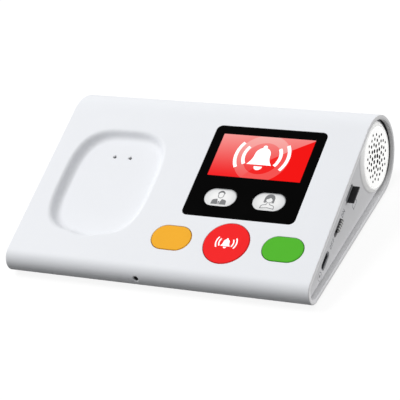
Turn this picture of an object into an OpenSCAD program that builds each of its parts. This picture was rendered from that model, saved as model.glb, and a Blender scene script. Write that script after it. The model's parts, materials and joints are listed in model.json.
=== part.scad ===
// Desktop medical alert base station: a wedge of teardrop section with a charging
// cradle for a pendant, a screen with two picture keys, three call keys, and a
// recessed right end that carries the speaker, a card slot, the power switch, the
// charging socket and a reset button. Millimetres, +Z up, resting on its feet.

/* [Body] */
// Width across the two end rims
body_w = 152; // [150:1:156]
// Radius of the tall rear edge
rear_r = 19.3; // [19:0.1:20]
// Radius of the low front nose
nose_r = 6.25; // [6.1:0.05:6.6]
// Distance from the nose centre back to the rear centre
run = 83.15; // [83:0.05:85]
// Thickness of the moulded walls
wall = 2.1; // [1.9:0.1:2.3]
// Height that the rubber feet lift the body
foot_proud = 0.6; // [0.4:0.1:0.8]

/* [Cradle] */
// Middle of the cradle across the face
cradle_x = -41.4; // [-42:0.1:-41]
// Middle of the cradle up the slope
cradle_s = 42.8; // [42:0.1:43]
// Width of the cradle at its rim
cradle_w = 51; // [49:0.1:52]
// Length of the cradle at its rim
cradle_l = 62; // [60:0.1:63]
// Depth of the cradle floor
cradle_depth = 3.9; // [3.4:0.1:4.2]
// Width of the sloping bank between the rim and the floor
cradle_bank = 4.6; // [4:0.1:5.2]
// How square the outline is: 2 is an ellipse
cradle_power = 3.3; // [2.6:0.1:4]
// Reach of the finger notch past the front of the outline
notch_reach = 1.6; // [1:0.1:2.4]
// Distance between the two charging pins
pin_pitch = 8.2; // [7:0.1:9]

/* [Screen] */
// Middle of the black lens across the face
lens_x = 30.55; // [30:0.05:31]
// Middle of the black lens up the slope
lens_s = 54.1; // [53.8:0.1:54.4]
// Width of the lens
lens_w = 55.4; // [55:0.1:56]
// Length of the lens up the slope
lens_l = 51.5; // [51:0.1:52]
// Thickness of the lens
lens_t = 1.2; // [1:0.1:1.4]
// Width of the lit picture
display_w = 45.9; // [44:0.1:46]
// Length of the lit picture up the slope
display_l = 24; // [23:0.1:24]
// Middle of the picture up the slope
display_s = 63.2; // [63:0.1:63.4]

/* [Keys] */
// Distance that each key goes down
key_travel = 0.5; // [0.3:0.05:0.6]
// Middle of the row of call keys up the slope
call_key_s = 15.1; // [14.8:0.1:15.3]
// Distance from the help key to the key on either side of it
call_key_pitch = 27.25; // [27:0.05:27.5]
// Radius of the round help key
help_key_r = 10.7; // [10:0.1:10.8]
// Width of the two side keys
side_key_w = 19.7; // [18:0.1:19.8]
// Length of the two side keys up the slope
side_key_l = 13.3; // [12:0.1:13.4]
// Middle of the picture keys up the slope
photo_key_s = 39.5; // [39:0.1:40]
// Distance from the middle of the lens to each picture key
photo_key_pitch = 11.95; // [11.5:0.05:12.2]
// Width of a picture key
photo_key_w = 16.2; // [15:0.1:16.4]
// Length of a picture key up the slope
photo_key_l = 10.1; // [9:0.1:10.4]

/* [Right end] */
// Depth of the end panels inside the rims
panel_recess = 2.65; // [2.4:0.05:2.8]
// Thickness of the end panels
panel_t = 2; // [1.8:0.1:2.2]
// Depth of the speaker grille inside the rim
grille_depth = 1.1; // [0.9:0.1:1.3]
// Radius of the white perforated grille
grille_r = 13.9; // [13.5:0.1:14.1]
// Radius of the cone round the grille where it meets the panel
boss_base_r = 16.6; // [16.2:0.1:16.8]
// Number of sound holes
hole_count = 56; // [40:1:58]
// Distance that the card stands out of its slot
card_proud = 3.3; // [2.8:0.1:3.8]
// Travel of the power switch
switch_travel = 2.6; // [2:0.1:2.8]
// Travel of the reset button
reset_travel = 0.3; // [0.2:0.05:0.4]

/* [Hidden] */
$fn = 64;

// Section of the body: y runs back, z runs up
depth = run + rear_r + nose_r;
rear_y = depth / 2 - rear_r;
rear_z = foot_proud + rear_r;
nose_y = rear_y - run;
nose_z = foot_proud + nose_r;
tilt = 2 * atan((rear_r - nose_r) / run);

// Origin of the sloping face: the front edge of its flat part
face_y = nose_y - nose_r * sin(tilt);
face_z = nose_z + nose_r * cos(tilt);

// Ends
rim_x = body_w / 2;
panel_x = rim_x - panel_recess;
panel_in_x = panel_x - panel_t;
stop_rib_t = 1.5;
stop_rib_h = 1.3;
panel_gap = 0.15;
key_gap = 0.3;
tuck = 0.004;

// Heights measured along the face's normal, negative inside
cradle_floor_t = 2;
tub_h = -(cradle_depth + cradle_floor_t);
flange_top_h = -wall - 0.3;
flange_t = 1.2;
flange_h = flange_top_h - flange_t;
flange_w = 1;
call_key_proud = 0.15;
photo_key_dip = 0.35;
board_top_h = -7.3;
board_t = 1.6;
board_h = board_top_h - board_t;
port_h = -11.2;
key_switch_top_h = -4.4;
plunger_h = -4.9;

// Main board outline on the face's plan
board_x0 = -14;
board_x1 = 68.4;
board_s0 = 7;
board_s1 = 68;
board_posts = [[-11, 12], [-11, 64], [66, 28.5], [66, 64.5]];
board_post_r = 2.6;
board_screw_r = 1;

// Small board under the cradle
pin_s = 59.5;
charge_board_h = -8.6;
charge_board_t = 1.2;
charge_board_w = 24;
charge_board_l = 14;
charge_post_dx = 9;
pin_proud = 0.6;
pin_r = 0.5;
barrel_r = 0.85;
barrel_top_h = -cradle_depth - 0.4;
pin_travel = 0.6;

// Places up the slope of what shows on the right end
usb_s = 18.8;
switch_s = 36.7;
sim_s = 54.9;
reset_s = 10.6;
reset_h = -11.3;
reset_ring_r = 2.1;
knob_l = 7;
knob_w = 2.1;
knob_proud = 1.2;
knob_groove_w = 0.62;
knob_groove_pitch = 1.35;
switch_slot_w = 2.6;
card_w = 8.8;
card_l = 12.3;
card_t = 0.8;
card_top_h = -10.2;

// Hatch in the underside
hatch_x = 66;
hatch_y0 = nose_y + 3.1;
hatch_y1 = rear_y - 3.05;
hatch_t = 1.2;
ledge_w = 5;
ledge_top = foot_proud + wall;
boss_r = 2.3;
boss_top = ledge_top + 2.9;
base_screw_r = 1;
base_screw_head_r = 1.9;
base_screw_x = [-hatch_x + 2.5, 0, hatch_x - 2.5];
base_screw_y = [hatch_y0 + 2.5, hatch_y1 - 2.5];
foot_r = 5.5;
foot_sink = 0.8;
foot_x = 50;
foot_y = [-30, 16];

// Battery, lying across the body behind the boards
battery_r = 9.2;
battery_l = 65;
battery_x = -35;
battery_y = 20;
battery_z = 14.2;
saddle_x = [-22, 14];
pad_t = 0.3;

// Microphone behind the nose, in a boot whose snout reaches into the hole
mic_x = -8;
mic_hole_r = 1.3;
mic_y = nose_y - nose_r + wall + 0.6;
boot_reach = wall - 0.2;

// Speaker
speaker_r = 14.3;
grille_t = 1;
gasket_t = 1;
lead_r = 0.45;

// ---- Helpers ----

// Teardrop section, drawn smaller by inset on every side. Its flats are sunk by tuck, so
// that they cross the arcs cleanly.
module section(inset) {
    rr = rear_r - inset;
    nr = nose_r - inset;
    rt = rr - tuck;
    nt = nr - tuck;
    translate([rear_y, rear_z])
        circle(rr, $fn = 96);
    translate([nose_y, nose_z])
        circle(nr);
    polygon([
        [rear_y, rear_z],
        [rear_y - rt * sin(tilt), rear_z + rt * cos(tilt)],
        [nose_y - nt * sin(tilt), nose_z + nt * cos(tilt)],
        [nose_y, nose_z],
        [nose_y, nose_z - nt],
        [rear_y, rear_z - rt],
    ]);
}

// Draws a y-z outline as a solid from x0 to x1
module across(x0, x1) {
    translate([x0, 0, 0])
        rotate([90, 0, 90])
            linear_extrude(x1 - x0)
                children();
}

// Places children on the sloping face: x across, s up the slope, h out of the face
module on_face(x, s, h = 0) {
    translate([0, face_y, face_z])
        rotate([tilt, 0, 0])
            translate([x, s, h])
                children();
}

// Box on the face between two heights
module face_box(x0, x1, s0, s1, h0, h1) {
    on_face(x0, s0, h0)
        cube([x1 - x0, s1 - s0, h1 - h0]);
}

// Cylinder standing on the face between two heights
module face_peg(x, s, r, h0, h1) {
    on_face(x, s, h0)
        cylinder(r = r, h = h1 - h0, $fn = 32);
}

// Cylinder along X, placed by its depth up the slope and under the face
module side_peg(s, h, r, x0, x1) {
    on_face(x0, s, h)
        rotate([0, 90, 0])
            cylinder(r = r, h = x1 - x0, $fn = 32);
}

// Outline with two round ends, w wide and l high
module pill(w, l) {
    square([w - l, l], center = true);
    for (side = [-1, 1])
        translate([side * (w - l) / 2, 0])
            circle(d = l, $fn = 48);
}

// Rectangle with round corners
module rounded(w, l, r) {
    square([w - 2 * r, l], center = true);
    square([w, l - 2 * r], center = true);
    for (a = [-1, 1], b = [-1, 1])
        translate([a * (w / 2 - r), b * (l / 2 - r)])
            circle(r, $fn = 32);
}

// Solid pill on the face between two heights
module face_pill(x, s, w, l, h0, h1) {
    on_face(x, s, h0)
        linear_extrude(h1 - h0)
            pill(w, l);
}

// Slot along the slope through the right end, w along the slope and l across it
module side_pill(s, h, w, l, x0, x1) {
    on_face(x0, s, h)
        rotate([90, 0, 90])
            linear_extrude(x1 - x0)
                pill(w, l);
}

// Unit vector
function unit(v) = v / norm(v);

// Direction of a route at its point i
function heading(route, i) =
    let (last = len(route) - 1)
    unit(
        (i > 0 ? unit(route[i] - route[i - 1]) : [0, 0, 0])
        + (i < last ? unit(route[i + 1] - route[i]) : [0, 0, 0])
    );

// Eight-sided wire along a route that is never upright
module wire(route, r = lead_r) {
    sides = 8;
    last = len(route) - 1;
    points = [
        for (i = [0:last])
            let (
                along = heading(route, i),
                across = unit(cross(along, [0, 0, 1])),
                up = cross(across, along)
            )
            for (k = [0:sides - 1])
                let (a = 360 * k / sides)
                route[i] + r * (cos(a) * across + sin(a) * up)
    ];
    sleeve = [
        for (i = [0:last - 1], k = [0:sides - 1])
            let (a = i * sides, j = (k + 1) % sides)
            each [[a + k, a + j, a + sides + j], [a + k, a + sides + j, a + sides + k]]
    ];
    polyhedron(
        points = points,
        faces = concat(
            sleeve,
            [[for (k = [sides - 1:-1:0]) k]],
            [[for (k = [0:sides - 1]) last * sides + k]]
        )
    );
}

// ---- Cradle ----

cradle_points = 96;
cradle_rings = 10;
cradle_ease = 0.45;
cradle_foot = 1;
notch_half = 8;

// 1 in the middle of the finger notch, falling to 0 at its sides
function shoulder(t) = abs(t) >= 1 ? 0 : pow(cos(90 * t), 1.3);

function cradle_point(a, inset) =
    let (
        hx = cradle_w / 2 - inset,
        hs = cradle_l / 2 - inset,
        c = cos(a),
        q = sin(a),
        r = pow(pow(abs(c) / hx, cradle_power) + pow(abs(q) / hs, cradle_power), -1 / cradle_power),
        x = r * c,
        s = r * q
    )
    [x, s - (q < 0 ? notch_reach * shoulder(x / notch_half) : 0)];

function cradle_ring(inset, h) = [
    for (i = [0:cradle_points - 1])
        let (p = cradle_point(360 * i / cradle_points, inset))
        [p[0], p[1], h]
];

// Reach of the bank at t, from 0 at the rim to 1 at the floor: gentle at both, more so at its foot
function bank_reach(t) =
    cradle_bank * (t + cradle_ease * sin(360 * t) / (2 * PI)) + cradle_foot * pow(t, 3);

// The hollow: an S-shaped bank all round, from just above the rim down to a flat floor
module cradle_hollow() {
    n = cradle_points;
    lip = 0.06;
    rings = concat(
        [cradle_ring(0, 1)],
        [
            for (k = [0:cradle_rings])
                let (t = k / cradle_rings)
                cradle_ring(bank_reach(t),
                    lip - (cradle_depth + lip) * (1 - cos(180 * t)) / 2)
        ]
    );
    last = len(rings) - 1;
    points = [for (ring = rings) each ring];
    walls = [
        for (k = [0:last - 1], i = [0:n - 1])
            let (j = (i + 1) % n, a = k * n)
            each [[a + i, a + j, a + n + j], [a + i, a + n + j, a + n + i]]
    ];
    on_face(cradle_x, cradle_s)
        polyhedron(
            points = points,
            faces = concat(
                walls,
                [[for (i = [n - 1:-1:0]) i]],
                [[for (i = [0:n - 1]) last * n + i]]
            )
        );
}

module cradle_tub() {
    on_face(cradle_x, cradle_s, tub_h)
        linear_extrude(0.4 - wall - tub_h)
            rounded(cradle_w - 0.2, cradle_l + 3.6, 16);
}

// ---- Housing ----

module tube() {
    difference() {
        across(-rim_x, rim_x)
            section(0);
        across(-panel_in_x + stop_rib_t, panel_in_x - stop_rib_t)
            section(wall);
        across(-panel_in_x - 1, panel_in_x + 1)
            section(wall + stop_rib_h);
        for (side = [0, 1])
            mirror([side, 0, 0])
                across(panel_in_x, rim_x + 1)
                    section(wall);
    }
}

module hatch_outline(inset) {
    translate([0, (hatch_y0 + hatch_y1) / 2])
        rounded(2 * (hatch_x - inset), hatch_y1 - hatch_y0 - 2 * inset, 6 - inset * 0.6);
}

module base_screw_places() {
    for (x = base_screw_x, y = base_screw_y)
        translate([x, y, 0])
            children();
}

module key_openings() {
    face_peg(lens_x, call_key_s, help_key_r + key_gap, -wall - 1, 1);
    for (side = [-1, 1]) {
        face_pill(lens_x + side * call_key_pitch, call_key_s,
            side_key_w + 2 * key_gap, side_key_l + 2 * key_gap, -wall - 1, 1);
        face_pill(lens_x + side * photo_key_pitch, photo_key_s,
            photo_key_w + 2 * key_gap, photo_key_l + 2 * key_gap, -wall - 1, 1);
    }
}

module wrap_cover() {
    color("#eceef1")
        difference() {
            union() {
                tube();
                cradle_tub();
                for (p = board_posts)
                    face_peg(p[0], p[1], board_post_r, board_top_h, -wall + 0.5);
                for (side = [-1, 1])
                    face_peg(cradle_x + side * charge_post_dx, pin_s, 2, charge_board_h, tub_h + 0.5);
                base_screw_places()
                    translate([0, 0, foot_proud + hatch_t])
                        cylinder(r = boss_r, h = boss_top - foot_proud - hatch_t, $fn = 32);
            }
            cradle_hollow();
            on_face(lens_x, lens_s, -lens_t)
                linear_extrude(lens_t + 1)
                    rounded(lens_w + 0.2, lens_l + 0.2, 2.9);
            face_box(lens_x - display_w / 2 - 0.5, lens_x + display_w / 2 + 0.5,
                display_s - display_l / 2 - 0.5, display_s + display_l / 2 + 0.5, -wall - 1, 1);
            key_openings();
            translate([mic_x, nose_y - nose_r - 1, nose_z])
                rotate([-90, 0, 0])
                    cylinder(r = mic_hole_r, h = 5, $fn = 32);
            for (side = [-1, 1]) {
                face_peg(cradle_x + side * pin_pitch / 2, pin_s, barrel_r + 0.1, tub_h - 1, 0);
                face_peg(cradle_x + side * charge_post_dx, pin_s, 0.8, charge_board_h - 1, tub_h);
            }
            for (p = board_posts)
                face_peg(p[0], p[1], board_screw_r, board_top_h - 1, -wall - 0.6);
            translate([0, 0, foot_proud - 1])
                linear_extrude(hatch_t + 1)
                    hatch_outline(0);
            translate([0, 0, foot_proud])
                linear_extrude(wall + 1)
                    hatch_outline(ledge_w);
            base_screw_places()
                cylinder(r = base_screw_r, h = boss_top - 0.6, $fn = 32);
        }
}

module base_plate() {
    color("#e4e6e9")
        difference() {
            union() {
                translate([0, 0, foot_proud])
                    linear_extrude(hatch_t)
                        hatch_outline(0.15);
                translate([0, 0, foot_proud])
                    linear_extrude(wall)
                        hatch_outline(ledge_w + 0.15);
                for (x = saddle_x)
                    translate([x, battery_y - 6.5, ledge_top - 0.5])
                        cube([4, 13, battery_z - ledge_top - 2]);
            }
            translate([battery_x - 5, battery_y, battery_z])
                rotate([0, 90, 0])
                    cylinder(r = battery_r + pad_t, h = battery_l + 10);
            base_screw_places() {
                translate([0, 0, foot_proud - 0.01])
                    cylinder(r1 = base_screw_head_r, r2 = base_screw_r + 0.1, h = 0.91, $fn = 32);
                cylinder(r = base_screw_r + 0.1, h = 5, $fn = 32);
            }
            for (side = [-1, 1], y = foot_y)
                translate([side * foot_x, y, foot_proud - 1])
                    cylinder(r = foot_r, h = foot_sink + 1);
        }
}

module base_screws() {
    color("#9a9da1")
        base_screw_places()
            difference() {
                union() {
                    translate([0, 0, foot_proud])
                        cylinder(r1 = base_screw_head_r - 0.05, r2 = base_screw_r, h = 0.9, $fn = 32);
                    translate([0, 0, foot_proud + 0.4])
                        cylinder(r = base_screw_r, h = 4, $fn = 32);
                }
                for (turn = [0, 90])
                    rotate(turn)
                        translate([-1.1, -0.2, foot_proud - 0.1])
                            cube([2.2, 0.4, 0.6]);
            }
}

module rubber_feet() {
    color("#3a3c3f")
        for (side = [-1, 1], y = foot_y)
            translate([side * foot_x, y, 0]) {
                cylinder(r1 = foot_r - 0.4, r2 = foot_r - 0.1, h = foot_proud);
                translate([0, 0, foot_proud])
                    cylinder(r = foot_r - 0.1, h = foot_sink);
            }
}

module left_end_panel() {
    color("#d9dbde")
        mirror([1, 0, 0]) {
            across(panel_in_x, panel_x)
                section(wall + panel_gap);
            difference() {
                across(panel_in_x - 3, panel_in_x)
                    section(wall + stop_rib_h + 0.3);
                across(panel_in_x - 4, panel_in_x)
                    section(wall + stop_rib_h + 1.5);
            }
        }
}

module right_end_panel() {
    color("#c9cbce")
        difference() {
            union() {
                across(panel_in_x, panel_x)
                    section(wall + panel_gap);
                translate([panel_x, rear_y, rear_z])
                    rotate([0, 90, 0])
                        cylinder(r1 = boss_base_r, r2 = grille_r + 0.9, h = panel_recess - grille_depth);
            }
            translate([rim_x - grille_depth - grille_t, rear_y, rear_z])
                rotate([0, 90, 0])
                    cylinder(r = grille_r + 0.1, h = 5);
            translate([panel_in_x - 1, rear_y, rear_z])
                rotate([0, 90, 0])
                    cylinder(r = grille_r - 1.4, h = 8);
            side_pill(usb_s, port_h, 9.5, 3.6, panel_in_x - 1, panel_x + 1);
            side_pill(switch_s, port_h, knob_l + switch_travel + 0.4, switch_slot_w, panel_in_x - 1, panel_x + 1);
            face_box(panel_in_x - 1, panel_x + 1, sim_s - card_w / 2 - 0.3, sim_s + card_w / 2 + 0.3,
                card_top_h - card_t - 0.3, card_top_h + 1.5);
            side_peg(reset_s, reset_h, 0.6, panel_in_x - 1, panel_x + 1);
            difference() {
                side_peg(reset_s, reset_h, reset_ring_r, panel_x - 0.25, panel_x + 1);
                side_peg(reset_s, reset_h, reset_ring_r - 0.3, panel_x - 1, panel_x + 2);
            }
        }
}

// ---- Speaker ----

// Cylinder or cone on the speaker's axis
module on_axis(x0, x1, r1, r2) {
    translate([x0, rear_y, rear_z])
        rotate([0, 90, 0])
            cylinder(r1 = r1, r2 = r2, h = x1 - x0);
}

// Sound holes on a sunflower spiral, smaller towards the edge
module speaker_grille() {
    x1 = rim_x - grille_depth;
    turn = 137.508;
    pitch = 1.55;
    middle_r = 1.1;
    shrink = 0.04;
    color("#fbfbfa")
        difference() {
            on_axis(x1 - grille_t, x1, grille_r, grille_r);
            for (k = [0:hole_count - 1])
                let (r = pitch * sqrt(k + 0.5), a = k * turn)
                translate([x1 - grille_t - 1, rear_y + r * cos(a), rear_z + r * sin(a)])
                    rotate([0, 90, 0])
                        cylinder(r = middle_r - shrink * r, h = grille_t + 2, $fn = 16);
        }
}

module speaker_gasket() {
    color("#2b2c2e")
        difference() {
            on_axis(panel_in_x - gasket_t, panel_in_x, speaker_r - 0.3, speaker_r - 0.3);
            on_axis(panel_in_x - gasket_t - 1, panel_in_x + 1, 12.5, 12.5);
        }
}

module speaker_frame() {
    x1 = panel_in_x - gasket_t;
    color("#6d7175")
        difference() {
            union() {
                on_axis(x1 - 1.2, x1, speaker_r, speaker_r);
                on_axis(x1 - 7, x1 - 1.2, 8.5, 12.8);
            }
            on_axis(x1 - 1.2, x1 + 1, 12.6, 12.6);
            on_axis(x1 - 6.2, x1 - 1.2, 7.6, 11.9);
            for (k = [0:3])
                translate([x1 - 3.9, rear_y, rear_z])
                    rotate([45 + 90 * k, 0, 0])
                        translate([-1.6, -2.5, 6])
                            cube([3, 5, 10]);
        }
}

module speaker_cone() {
    x1 = panel_in_x - gasket_t;
    color("#27282a")
        translate([x1, rear_y, rear_z])
            rotate([0, 90, 0])
                rotate_extrude()
                    polygon([
                        [0, -3.4], [3, -3.6], [5, -4.6], [10.6, -1.1], [11.4, -0.6],
                        [12.2, -0.9], [12.2, -1.2], [11.4, -0.9], [10.6, -1.4], [5, -4.9],
                        [3, -3.9], [0, -3.7],
                    ]);
}

module speaker_magnet() {
    x1 = panel_in_x - gasket_t - 7;
    color("#4a4d50")
        on_axis(x1 - 4, x1, 7.5, 7.5);
}

// ---- Screen ----

module screen_lens() {
    color("#08080a")
        difference() {
            on_face(lens_x, lens_s, -lens_t)
                linear_extrude(lens_t)
                    rounded(lens_w, lens_l, 2.8);
            for (side = [-1, 1])
                face_pill(lens_x + side * photo_key_pitch, photo_key_s,
                    photo_key_w + 0.4, photo_key_l + 0.4, -lens_t - 1, 1);
        }
}

module display_module() {
    color("#e01f23") {
        face_box(lens_x - display_w / 2 - 0.2, lens_x + display_w / 2 + 0.2,
            display_s - display_l / 2 - 0.2, display_s + display_l / 2 + 0.2, -wall - tuck, -lens_t);
        face_box(lens_x - 25, lens_x + 25, display_s - 14.4, display_s + 14.4, -4.7, -wall - tuck);
    }
}

module display_flex() {
    s0 = display_s - 14;
    color("#c98a2b") {
        face_box(lens_x - 6, lens_x + 6, s0, s0 + 0.3, board_top_h, -4.7);
        face_box(lens_x - 6, lens_x + 6, s0 - 4, s0, board_top_h, board_top_h + 0.3);
    }
}

// ---- Keys ----

module help_button() {
    color("#f5272b") {
        face_peg(lens_x, call_key_s, help_key_r, flange_h, call_key_proud);
        face_peg(lens_x, call_key_s, help_key_r + key_gap + flange_w, flange_h, flange_top_h);
    }
}

// Key with a pill-shaped cap over a wider flange that stops it under the cover
module pill_key(x, s, w, l, top) {
    spread = 2 * (key_gap + flange_w);
    face_pill(x, s, w, l, flange_h, top);
    face_pill(x, s, w + spread, l + spread, flange_h, flange_top_h);
}

module yellow_button() {
    color("#f5b338")
        pill_key(lens_x - call_key_pitch, call_key_s, side_key_w, side_key_l, call_key_proud);
}

module green_button() {
    color("#56ba30")
        pill_key(lens_x + call_key_pitch, call_key_s, side_key_w, side_key_l, call_key_proud);
}

module left_photo_button() {
    color("#dcdcdc")
        pill_key(lens_x - photo_key_pitch, photo_key_s, photo_key_w, photo_key_l, -photo_key_dip);
}

module right_photo_button() {
    color("#dcdcdc")
        pill_key(lens_x + photo_key_pitch, photo_key_s, photo_key_w, photo_key_l, -photo_key_dip);
}

module plunger(x, s) {
    color("#1d1e20")
        face_peg(x, s, 1.7, plunger_h, flange_h);
}

module help_plunger() plunger(lens_x, call_key_s);
module yellow_plunger() plunger(lens_x - call_key_pitch, call_key_s);
module green_plunger() plunger(lens_x + call_key_pitch, call_key_s);
module left_photo_plunger() plunger(lens_x - photo_key_pitch, photo_key_s);
module right_photo_plunger() plunger(lens_x + photo_key_pitch, photo_key_s);

module key_switches() {
    places = [
        [lens_x, call_key_s],
        [lens_x - call_key_pitch, call_key_s],
        [lens_x + call_key_pitch, call_key_s],
        [lens_x - photo_key_pitch, photo_key_s],
        [lens_x + photo_key_pitch, photo_key_s],
    ];
    color("#33363a")
        for (p = places)
            difference() {
                face_box(p[0] - 3, p[0] + 3, p[1] - 3, p[1] + 3, board_top_h, key_switch_top_h);
                face_peg(p[0], p[1], 2, plunger_h - key_travel - 0.2, 0);
            }
}

// ---- Electronics ----

module main_board() {
    color("#1f6b45")
        difference() {
            face_box(board_x0, board_x1, board_s0, board_s1, board_h, board_top_h);
            for (p = board_posts)
                face_peg(p[0], p[1], board_screw_r + 0.2, board_h - 1, 0);
        }
}

module board_screws() {
    color("#b9bcc0") {
        for (p = board_posts) {
            face_peg(p[0], p[1], 1.9, board_h - 1.2, board_h);
            face_peg(p[0], p[1], board_screw_r - 0.02, board_h, -wall - 1.2);
        }
        for (side = [-1, 1]) {
            face_peg(cradle_x + side * charge_post_dx, pin_s, 1.5,
                charge_board_h - charge_board_t - 1, charge_board_h - charge_board_t);
            face_peg(cradle_x + side * charge_post_dx, pin_s, 0.78,
                charge_board_h - charge_board_t, tub_h - 0.3);
        }
    }
}

module modem_module() {
    color("#c4c7ca")
        face_box(28, 52, 26, 46, board_h - 2.4, board_h);
}

module processor_shield() {
    color("#bfc2c5")
        face_box(0, 16, 30, 46, board_h - 1.8, board_h);
}

module usb_socket() {
    x0 = panel_x - 8;
    x1 = panel_x - 0.5;
    color("#b4b7bb") {
        difference() {
            side_pill(usb_s, port_h, 8.94, 3.16, x0, x1);
            side_pill(usb_s, port_h, 8.34, 2.56, x0 + 1, x1 + 1);
        }
        face_box(x0 + 0.5, x1 - 1, usb_s - 3.3, usb_s + 3.3, port_h - 0.35, port_h + 0.35);
        for (side = [-1, 1])
            face_box(x0 + 1, x0 + 6, usb_s + 2.4 * side - 0.4, usb_s + 2.4 * side + 0.4, port_h + 1.4, board_h);
    }
}

module power_switch_case() {
    x1 = panel_in_x - 0.8;
    color("#2c2e31")
        difference() {
            face_box(x1 - 4.6, x1, switch_s - 6.2, switch_s + 6.2, port_h - 1.6, board_h);
            face_box(x1 - 3, x1 + 1, switch_s - 4.9, switch_s + 4.9, port_h - 0.9, port_h + 0.9);
        }
}

// Rear end of its slot at rest, which is the ON place
module power_knob() {
    middle = switch_s + switch_travel / 2;
    x0 = panel_in_x - 0.75;
    color("#2a2b2d")
        difference() {
            union() {
                side_pill(middle, port_h, knob_l, knob_w, x0, panel_x + knob_proud);
                face_box(x0, x0 + 0.5, middle - 6.5, middle + 6.5, port_h - 1.5, port_h + 1.5);
                face_box(x0 - 2.4, x0 + 0.2, middle - 2.2, middle + 2.2, port_h - 0.6, port_h + 0.6);
            }
            for (k = [-2:2])
                let (s = middle + k * knob_groove_pitch)
                face_box(panel_x + 0.3, panel_x + 2, s - knob_groove_w / 2, s + knob_groove_w / 2,
                    port_h - 2, port_h + 2);
        }
}

module sim_socket() {
    x1 = panel_in_x - 0.4;
    color("#aeb1b5")
        difference() {
            face_box(x1 - 9, x1, sim_s - 5.2, sim_s + 5.2, card_top_h - card_t - 0.5, board_h);
            face_box(x1 - 7.5, x1 + 1, sim_s - card_w / 2 - 0.2, sim_s + card_w / 2 + 0.2,
                card_top_h - card_t - 0.15, card_top_h + 0.15);
        }
}

module sim_card() {
    x1 = panel_x + card_proud;
    nick = 1.7;
    color("#141516")
        on_face(x1, sim_s, card_top_h - card_t)
            linear_extrude(card_t)
                polygon([
                    [0, -card_w / 2],
                    [0, card_w / 2],
                    [-card_l, card_w / 2],
                    [-card_l, -card_w / 2 + nick],
                    [-card_l + nick, -card_w / 2],
                ]);
}

module reset_switch_case() {
    x1 = panel_in_x - 2.4;
    color("#2f3236")
        difference() {
            face_box(x1 - 3.4, x1, reset_s - 3, reset_s + 3, port_h - 1.2, board_h);
            side_peg(reset_s, reset_h, 1.1, x1 - 1.7 - reset_travel, x1 + 1);
        }
}

module reset_plunger() {
    x1 = panel_in_x - 2.4;
    color("#d8d9db")
        side_peg(reset_s, reset_h, 0.8, x1 - 1.4, x1 + 1.2);
}

// ---- Charging pins ----

module charge_board() {
    color("#1f6b45")
        difference() {
            face_box(cradle_x - charge_board_w / 2, cradle_x + charge_board_w / 2,
                pin_s - charge_board_l / 2, pin_s + charge_board_l / 2,
                charge_board_h - charge_board_t, charge_board_h);
            for (side = [-1, 1])
                face_peg(cradle_x + side * charge_post_dx, pin_s, 0.95,
                    charge_board_h - charge_board_t - 1, charge_board_h + 1);
        }
}

module charge_pin_barrels() {
    color("#caa54c")
        for (side = [-1, 1])
            difference() {
                face_peg(cradle_x + side * pin_pitch / 2, pin_s, barrel_r, charge_board_h, barrel_top_h);
                face_peg(cradle_x + side * pin_pitch / 2, pin_s, pin_r + 0.07,
                    charge_board_h + 0.5, barrel_top_h + 1);
            }
}

module charge_pin(side) {
    x = cradle_x + side * pin_pitch / 2;
    tip_h = -cradle_depth + pin_proud;
    color("#d8b45a") {
        face_peg(x, pin_s, pin_r, charge_board_h + 0.5 + pin_travel + 0.1, tip_h - 0.25);
        on_face(x, pin_s, tip_h - 0.25)
            cylinder(r1 = pin_r, r2 = pin_r - 0.2, h = 0.25, $fn = 32);
    }
}

module charge_pin_left() charge_pin(-1);
module charge_pin_right() charge_pin(1);

// ---- Battery, microphone, antenna ----

module battery() {
    color("#3f6fb5")
        translate([battery_x, battery_y, battery_z])
            rotate([0, 90, 0]) {
                cylinder(r = battery_r, h = battery_l);
                translate([0, 0, battery_l])
                    cylinder(r = 3.2, h = 1.2, $fn = 32);
            }
}

module battery_pads() {
    color("#6b6e72")
        for (x = saddle_x)
            translate([x + 0.5, battery_y, battery_z])
                intersection() {
                    rotate([0, 90, 0])
                        difference() {
                            cylinder(r = battery_r + pad_t - 0.02, h = 3);
                            translate([0, 0, -1])
                                cylinder(r = battery_r + 0.02, h = 5);
                        }
                    translate([-1, -5.5, -battery_r - 2])
                        cube([5, 11, 6]);
                }
}

module microphone() {
    color("#b9bcbf")
        translate([mic_x, mic_y + 1.3, nose_z])
            rotate([-90, 0, 0])
                cylinder(r = 1.6, h = 1.4, $fn = 32);
}

module microphone_boot() {
    color("#2b2c2e")
        translate([mic_x, mic_y, nose_z])
            rotate([-90, 0, 0])
                difference() {
                    union() {
                        cylinder(r1 = 2, r2 = 2.4, h = 3.4, $fn = 32);
                        translate([0, 0, -boot_reach])
                            cylinder(r = mic_hole_r - 0.1, h = boot_reach + 1, $fn = 32);
                    }
                    translate([0, 0, -boot_reach - 1])
                        cylinder(r = 0.6, h = boot_reach + 3, $fn = 32);
                    translate([0, 0, 1.3])
                        cylinder(r = 1.6, h = 3, $fn = 32);
                }
}

module antenna() {
    color("#c98a2b")
        translate([-panel_in_x + 0.05, 8, 14])
            cube([0.5, 24, 9]);
}

// ---- Inner leads ----

module lead_pair(points, gap) {
    for (k = [0, 1])
        wire([for (p = points) p + k * gap]);
}

module speaker_leads() {
    color("#c23b32")
        lead_pair([[65.2, 25.1, 20.3], [61, 21, 20.4], [55, 16, 22.2], [53, 11, 22.3]], [0, 0, -1.2]);
}

module battery_leads() {
    color("#b32f2a")
        lead_pair([[31.3, 20, 15.4], [34, 19, 15.8], [35, 12, 19.5], [35, 7, 21.2]], [0, 0, -1.3]);
}

module charge_leads() {
    color("#2c2d30")
        lead_pair([[-30.2, 6, 20], [-24, 6, 16.5], [-16, 4, 17], [-11, 2, 19.6]], [0, -1.2, -0.38]);
}

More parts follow.
